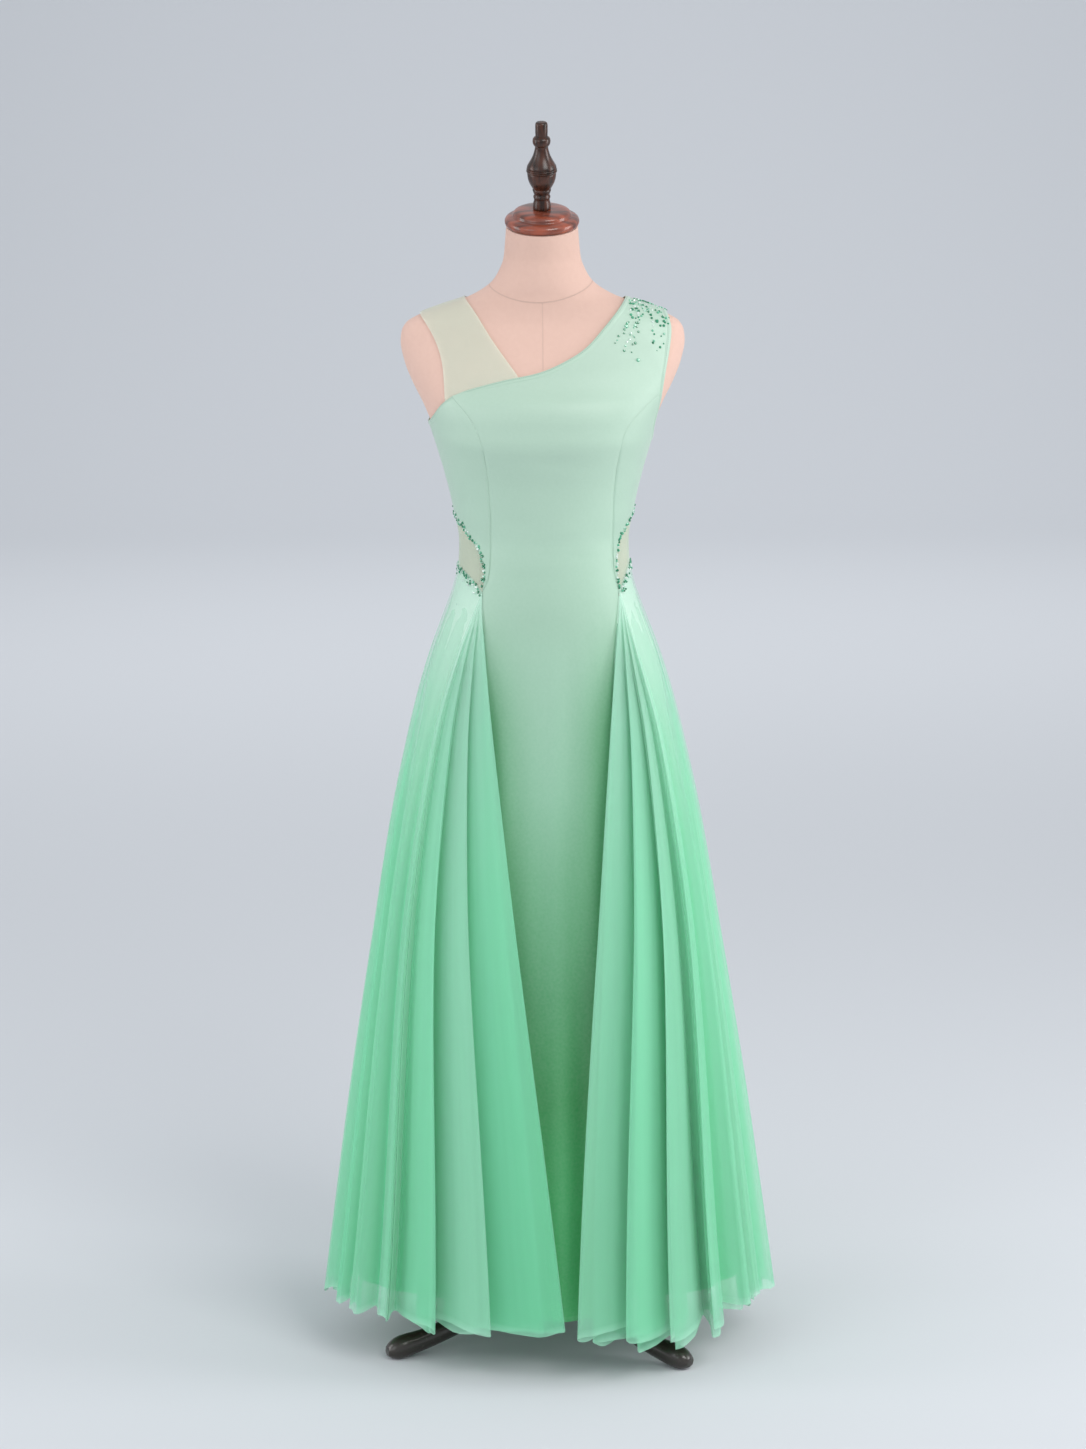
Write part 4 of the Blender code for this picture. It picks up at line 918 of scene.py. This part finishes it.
def gather(folds, painted_light_per_fold, edges, top_height, lean_sign, rising, lift=0.0, depth=1.0, longer=0.0,
           phase=0.0, rows=84):
    """Points of a folded skirt piece, with its crests and the masks of painted light and painted highlight
    for its net.

    edges gives the two seam angles at a height, lower first. Folds are share, height, lean and hem dip.
    painted_light_per_fold tells how much painted light each fold gets where it faces the light, and rising
    how late its height grows.
    """
    folds = np.array(folds)
    starts = np.concatenate(([0], np.cumsum(folds[:, 0])))
    place = np.linspace(0, 1, len(folds) * 26 + 1)
    which = np.clip(np.searchsorted(starts, place, side="right") - 1, 0, len(folds) - 1)
    turn = (place - starts[which]) / folds[which, 0]
    crest = (1 - np.cos(2 * math.pi * turn)) / 2
    round_crest = 1 - (1 - crest) ** 1.5
    rise, lean, dip = (folds[which, 1] * round_crest, folds[which, 2] * crest, folds[which, 3] * crest)
    ripple = sum(size * np.sin(count * 2 * math.pi * place + shift + phase)
                 for size, count, shift in RIPPLES)
    ripple = ripple * np.sin(math.pi * place) ** 0.3
    hem_ripple = sum(size * np.sin(count * 2 * math.pi * place + shift + phase)
                     for size, count, shift in HEM_RIPPLES)
    pale = np.array(painted_light_per_fold)[which] * np.sin(math.pi * turn) ** 0.5
    grid, fold_edge = [], []
    levels = np.linspace(0, 1, rows) ** 0.9
    for level in levels:
        growth = max(level - 0.02, 0.0) / 0.98
        base_height = WAIST_POINT + (HEM - WAIST_POINT) * level
        first, last = edges(base_height)
        angles = np.linspace(first - 0.9, last + 0.9, 240)
        base = dress_point(angles, np.full(240, base_height))[:, :2]
        lengths = np.concatenate(([0], np.cumsum(np.linalg.norm(np.diff(base, axis=0), axis=1))))
        begin, end = np.interp((first, last), angles, lengths)
        along = begin + (end - begin) * place
        top = top_height(np.interp(along, lengths, angles))
        height = top + (HEM - longer - dip - top) * level + hem_ripple * level**5
        along = along + lean_sign * lean * depth * growth**0.85
        angle = np.interp(along, lengths, angles)
        points = dress_point(angle, height, SATIN_LIFT + lift)
        ahead = dress_point(angle + 0.01, height) - dress_point(angle - 0.01, height)
        outward = unit(np.stack((ahead[:, 1], -ahead[:, 0], np.zeros(len(place))), axis=1))
        points = points + outward * (rise * depth * growth**rising + ripple * growth)[:, None]
        running = unit(np.gradient(points, axis=0))
        grid.append(points)
        # The turned edge, where the net runs edge-on at a fold: denser net there, and a painted highlight.
        fold_edge.append(np.abs((running * outward).sum(1)) ** 8 * eased(growth * 2))
    levels = levels[:, None]
    # A narrow band along the hem, with denser net and a painted highlight.
    hem_line = np.exp(-((1 - levels) / 0.0035) ** 2)
    return np.array(grid), {"crest": crest[None, :] * np.clip(levels * 4, 0, 1), "pale": pale[None, :],
                            "edge": np.clip(np.array(fold_edge) + hem_line * 0.6, 0, 1)}


def seam_angle(column, back):
    """Angle of a skirt seam as a function of height."""
    def angle(height):
        found = float(angle_at(skirt_seams.at(np.array(height))[column], height))
        return math.pi - found if back else found
    return angle


def tulle_paint(name, cover_top, cover_low, valley_shade):
    """Soft net: thin where one ply lies flat and denser along the turned edge of a fold, with painted shade
    in the valleys, painted light on the folds that face the light, and a painted highlight along the turned
    edges and the hem.
    """
    net = Paint(name)
    where = net.place()
    crest, pale, edge = net.fact("crest"), net.fact("pale"), net.fact("edge")
    cloth = net.cut()
    along, down, _ = net.parts(cloth)
    turn = 2 * math.pi / TULLE_PITCH
    holes = ((along + down) * turn).sine() * ((along - down) * turn).sine()
    drawn_out = net.node("ShaderNodeMapping", {}, {"Vector": cloth, "Scale": (55.0, 1.6, 1.0)})
    streaks = net.noise(drawn_out, 1.0, 3.0)
    height = net.parts(where)[2]
    near_top = net.node("ShaderNodeMapRange", {}, {0: height, 1: 0.62, 2: 1.02})
    streaks = (streaks - 0.5) * (1 - near_top * 0.9)
    base_tone = net.ramp(height / 1.10 + streaks * 0.08, TULLE_DYE)
    # Painted shade in the valleys between the folds, strongest where the crest share is low.
    deep = net.mix(1.0, base_tone, valley_shade, "MULTIPLY")
    body = net.mix(crest * 0.35 + streaks * 0.30 + 0.40, deep, base_tone)
    # Painted light on the folds that face the light: lighter and greyer there.
    with_painted_light = net.mix(pale * 0.60, body, (0.48, 0.80, 0.63))
    net.set({
        # A painted highlight along the turned edges of the folds and along the hem.
        "Base Color": net.mix(edge * 0.55, with_painted_light, (0.56, 0.86, 0.70)),
        "Alpha": (cover_low - near_top * (cover_low - cover_top) - crest * 0.05 + edge * 0.25
                  + holes * 0.05 + streaks * 0.10),
        "Roughness": 0.72 + streaks * 0.2,
        "Normal": net.bump(holes * 0.5 + streaks * 1.5, 0.00012),
        "Sheen Weight": 0.55,
        "Sheen Roughness": 0.50,
        "Sheen Tint": (0.55, 0.95, 0.75, 1.0),
        "Specular IOR Level": 0.20,
    })
    return net.material


# The last colour of each net is the colour of its painted shade in the valleys.
side_net = tulle_paint("side_tulle", 0.20, 0.52, (0.84, 0.98, 0.90))
godet_net = tulle_paint("godet_tulle", 0.50, 0.48, (0.88, 1.00, 0.94))
under_net = tulle_paint("under_tulle", 0.45, 0.52, (0.85, 1.00, 0.91))


def waist_seam(angle):
    return np.full(np.shape(angle), WAIST_POINT)


# Name, folds, painted light per fold, seam at the panel and at the side, back, longer under ply, cut, its
# area
GODETS = (
    ("front_left", FOLDS_FRONT_LEFT, (0.15, 0.95, 0.30, 0.60), 0, 1, False, 0.002, (0.86, 0.99), 0.45),
    ("front_right", FOLDS_FRONT_RIGHT, (0.75, 0.40, 0.70, 0.50), 2, 3, False, 0.014, (0.92, 1.00), 0.48),
    ("back_left", FOLDS_BACK_LEFT, (0.20, 0.70, 0.35), 0, 1, True, 0.004, (0.35, 1.00), 0.20),
    ("back_right", FOLDS_BACK_RIGHT, (0.60, 0.20, 0.50), 2, 3, True, 0.004, (0.35, 1.00), 0.20),
)
for which_godet, folds, painted_light_per_fold, panel_column, side_column, back, longer, cut_size, cut_area in GODETS:
    inner, outer = seam_angle(panel_column, back), seam_angle(side_column, back)
    outer_first = (panel_column == 0) != back

    def godet_edges(height, inner=inner, outer=outer, outer_first=outer_first):
        pair = (inner(height), outer(height))
        return pair[::-1] if outer_first else pair

    if outer_first:
        folds, painted_light_per_fold = folds[::-1], painted_light_per_fold[::-1]
    lean_sign = 1 if outer_first else -1
    grid, facts = gather(folds, painted_light_per_fold, godet_edges, waist_seam, lean_sign, 0.90)
    godet = lay_cloth("tulle_godet_" + which_godet, grid, facts)
    grid, facts = gather(folds, painted_light_per_fold, godet_edges, waist_seam, lean_sign, 0.90, -0.004, 0.80,
                         longer, 1.3)
    under = lay_cloth("tulle_godet_under_" + which_godet, grid, facts)
    godet.data.materials.append(godet_net)
    under.data.materials.append(under_net)
    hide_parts("godet_" + which_godet)
    for ply in (godet, under):
        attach(ply, "root")
# Name, folds, painted light per fold, upper edge, seam column, cut and its area
SIDE_SKIRTS = (("left", FOLDS_SIDE_LEFT, PAINTED_LIGHT_LEFT, CUTOUT_BASE_LEFT, 1, (0.46, 1.03), 0.31),
               ("right", FOLDS_SIDE_RIGHT, PAINTED_LIGHT_RIGHT, CUTOUT_BASE_RIGHT, 3, (0.45, 1.03), 0.30))
for side, folds, painted_light_per_fold, base_line, side_column, cut_size, cut_area in SIDE_SKIRTS:
    front_seam, back_seam = seam_angle(side_column, False), seam_angle(side_column, True)
    base = np.abs(cut_path(base_line, np.linspace(0, 1, 60)))

    def side_edges(height, side=side, front_seam=front_seam, back_seam=back_seam):
        if side == "left":
            return back_seam(height) - 2 * math.pi, front_seam(height)
        return front_seam(height), back_seam(height)

    def cutout_edge(angle, base=base):
        on_front = np.minimum(np.abs(angle), math.pi - np.abs(angle))
        return np.interp(on_front, base[:, 0], base[:, 1])

    grid, facts = gather(folds, painted_light_per_fold, side_edges, cutout_edge, 1, 1.0)
    skirt = lay_cloth("tulle_side_" + side, grid, facts)
    grid, facts = gather(folds, painted_light_per_fold, side_edges, cutout_edge, 1, 1.0, -0.003, 0.6, 0.004, 2.2)
    under = lay_cloth("tulle_side_under_" + side, grid, facts)
    skirt.data.materials.append(side_net)
    under.data.materials.append(side_net)
    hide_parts("side_skirt_" + side)
    for ply in (skirt, under):
        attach(ply, "root")


# The edges: the satin is turned over at the neckline and the armhole and held by a line of stitches.
# The turned edge makes a narrow raised band.
BAND_WIDTH = 0.0070
BAND_LIFT = 0.0010


def edge_band(upper, lower, width, inside):
    """A closed band along an opening, laid on the satin."""
    line = np.vstack((cut_path(upper, np.linspace(0, 1, 90)), cut_path(lower, np.linspace(0, 1, 40))[1:]))
    path = np.vstack((line, np.stack((math.pi - line[-2:0:-1, 0], line[-2:0:-1, 1]), axis=1)))
    points = dress_point(path[:, 0], path[:, 1])
    normals = unit(dress_point(path[:, 0], path[:, 1], SATIN_LIFT + 0.002) - points)
    along = np.roll(points, -1, axis=0) - np.roll(points, 1, axis=0)
    across = unit(np.cross(normals, along)) * inside
    rows = []
    for share in np.linspace(0, 1, 9):
        height = BAND_LIFT * min(1.0, 6 * share, 6 * (1 - share)) - 0.0003
        rows.append(points + across * width * share + normals * height)
    return np.array(rows)


band = Paint("stitched_edge")
band_place = band.place()
band_along, band_down, _ = band.parts(band.cut())
stitch = ((band_along * (2 * math.pi / 0.0028)).sine() < 0.55) * (abs(band_down - 0.0052) < 0.00045)
band_tone = band.ramp(band.parts(band_place)[2] / TONE_TOP, SATIN_HEIGHT_TONES)
band_noise = band.noise(band_place, 200.0, 3.0)
band.set({
    "Base Color": band.mix(stitch * 0.55, band_tone, (0.24, 0.44, 0.33)),
    "Roughness": 0.42 + band_noise * 0.12,
    "Normal": band.bump(band_noise + stitch * -4.0, 0.00008),
    "Sheen Weight": 0.3,
})
for band_name, node, upper, lower, inside, length, cut_area in (
        ("neckline_edge", "neckline_binding", NECKLINE, NECKLINE_SIDE, 1, 0.88, 0.0070),
        ("armhole_edge", "armhole_binding", ARMHOLE, ARMHOLE_SIDE, -1, 0.48, 0.0038)):
    rows = edge_band(upper, lower, BAND_WIDTH, inside)
    edge_piece = lay_cloth(band_name, rows[::-1] if inside > 0 else rows, closed=True)
    edge_piece.data.materials.append(band.material)
    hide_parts(node)
    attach(edge_piece, "root")


# The stones: green and clear faceted glass, glued on by hand in sprays at the shoulder
# and in loose rows round the waist cut-outs.
random.seed(11)
STONE_SIZES = (0.0024, 0.0030, 0.0036, 0.0042, 0.0056)
# The line of each spray, its number of stones and how far they scatter
SPRAYS = (
    (((0.1215, 1.4385), (0.1083, 1.4046), (0.0990, 1.3889)), 17, 0.0016),
    (((0.1230, 1.4385), (0.1210, 1.4123), (0.1120, 1.3920), (0.1080, 1.3800)), 18, 0.0020),
    (((0.1254, 1.4398), (0.1280, 1.4123), (0.1220, 1.3950), (0.1187, 1.3809)), 22, 0.0018),
    (((0.1372, 1.4400), (0.1411, 1.4280), (0.1477, 1.3991), (0.1490, 1.3781)), 18, 0.0022),
    (((0.1470, 1.4360), (0.1560, 1.4226), (0.1600, 1.3912), (0.1569, 1.3833)), 16, 0.0018),
    (((0.1230, 1.4410), (0.1340, 1.4400), (0.1460, 1.4370), (0.1540, 1.4310)), 30, 0.0035),
    (((0.1190, 1.4290), (0.1340, 1.4310), (0.1480, 1.4270), (0.1580, 1.4180)), 30, 0.0050),
)
SHOULDER_TOP = 1.4405
EDGE_ROOM = 0.006
LARGE_STONES = ((0.1266, 1.3664), (0.1516, 1.4148), (0.1110, 1.4100))


def cut_stone(size):
    """One round stone with a flat table and a ring of slanting facets."""
    deselect()
    bpy.ops.mesh.primitive_cylinder_add(vertices=8, radius=size / 2, depth=size * 0.42)
    stone = bpy.context.object
    stone.data.transform(Matrix.Translation((0, 0, size * 0.21)))
    bpy.ops.object.mode_set(mode="EDIT")
    bpy.ops.mesh.select_all(action="DESELECT")
    shape = bmesh.from_edit_mesh(stone.data)
    for face in shape.faces:
        face.select_set(face.normal.z > 0.5)
    bmesh.update_edit_mesh(stone.data)
    bpy.ops.transform.resize(value=(0.52, 0.52, 1), center_override=(0, 0, 0))
    bpy.ops.object.mode_set(mode="OBJECT")
    return stone


def set_stones(name, places):
    """Copies of cut stones, pressed onto the dress and joined as one glued group."""
    patterns = [cut_stone(size) for size in STONE_SIZES]
    whole = bmesh.new()
    tones = []
    for angle, height, size in places:
        pattern = patterns[size if size is not None else random.randrange(4)]
        foot = dress_point(np.array(angle), np.array(height), SATIN_LIFT + 0.0001)
        out = unit(dress_point(np.array(angle), np.array(height), SATIN_LIFT + 0.002) - foot)
        spin = Quaternion((0, 0, 1), random.uniform(0, math.pi))
        turned = Vector(out).to_track_quat("Z", "Y") @ spin
        copy = pattern.data.copy()
        copy.transform(Matrix.Translation(Vector(foot)) @ turned.to_matrix().to_4x4())
        whole.from_mesh(copy)
        tones += [random.random()] * len(copy.vertices)
        bpy.data.meshes.remove(copy)
    for pattern in patterns:
        bpy.data.objects.remove(pattern)
    mesh = bpy.data.meshes.new(name)
    whole.to_mesh(mesh)
    whole.free()
    mesh.attributes.new("tone", "FLOAT", "POINT").data.foreach_set("value", tones)
    group = bpy.data.objects.new(name, mesh)
    scene.collection.objects.link(group)
    group.data.materials.append(glass_stone.material)
    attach(group, "root")
    return group


glass_stone = Paint("green_stone")
stone_tone = glass_stone.fact("tone")
stone_flaw = glass_stone.noise(glass_stone.place(), 900.0, 1.0)
stone_colours = ((0.00, (0.012, 0.190, 0.085)), (0.40, (0.035, 0.310, 0.160)), (0.60, (0.110, 0.520, 0.310)),
                 (0.74, (0.300, 0.680, 0.480)), (0.82, (0.780, 0.920, 0.840)), (1.00, (0.860, 0.960, 0.910)))
glass_stone.set({
    "Base Color": glass_stone.mix(stone_flaw * 0.25, glass_stone.ramp(stone_tone, stone_colours),
                                  (0.002, 0.050, 0.024)),
    "Roughness": 0.06 + stone_flaw * 0.10,
    "Coat Weight": 0.8,
    "Normal": glass_stone.bump(stone_flaw, 0.00002),
})
shoulder_places = []
for line, count, scatter in SPRAYS:
    for angle, height in cut_path(line, np.linspace(0, 1, count)):
        angle = angle + random.gauss(0, scatter * 6)
        height = height + random.gauss(0, scatter)
        from_neckline = dress_point(angle, height)[0] - NECKLINE[0][0] + (SHOULDER_TOP - height) * 0.9
        if from_neckline > EDGE_ROOM and height < SHOULDER_TOP:
            shoulder_places.append((angle, height, None))
for x, height in LARGE_STONES:
    shoulder_places.append((float(angle_at(x, height)), height, 4))
set_stones("shoulder_stones", shoulder_places)
for side, top_line, base_line in (("left", CUTOUT_TOP_LEFT, CUTOUT_BASE_LEFT),
                                  ("right", CUTOUT_TOP_RIGHT, CUTOUT_BASE_RIGHT)):
    places = []
    for line, count, outside in ((top_line, 28, 1), (base_line, 16, -1)):
        for angle, height in cut_path(line, np.linspace(0.04, 1, count)):
            for back in (False, True):
                for row in range(random.choice((1, 2, 2, 3))):
                    offset = outside * (0.0016 + 0.0046 * row) + random.gauss(0, 0.0012)
                    turned = angle + random.gauss(0, 0.012)
                    size = random.choice((1, 2, 2, 3, 3))
                    places.append((math.pi - turned if back else turned, height + offset, size))
    set_stones("waist_stones_" + side, places)
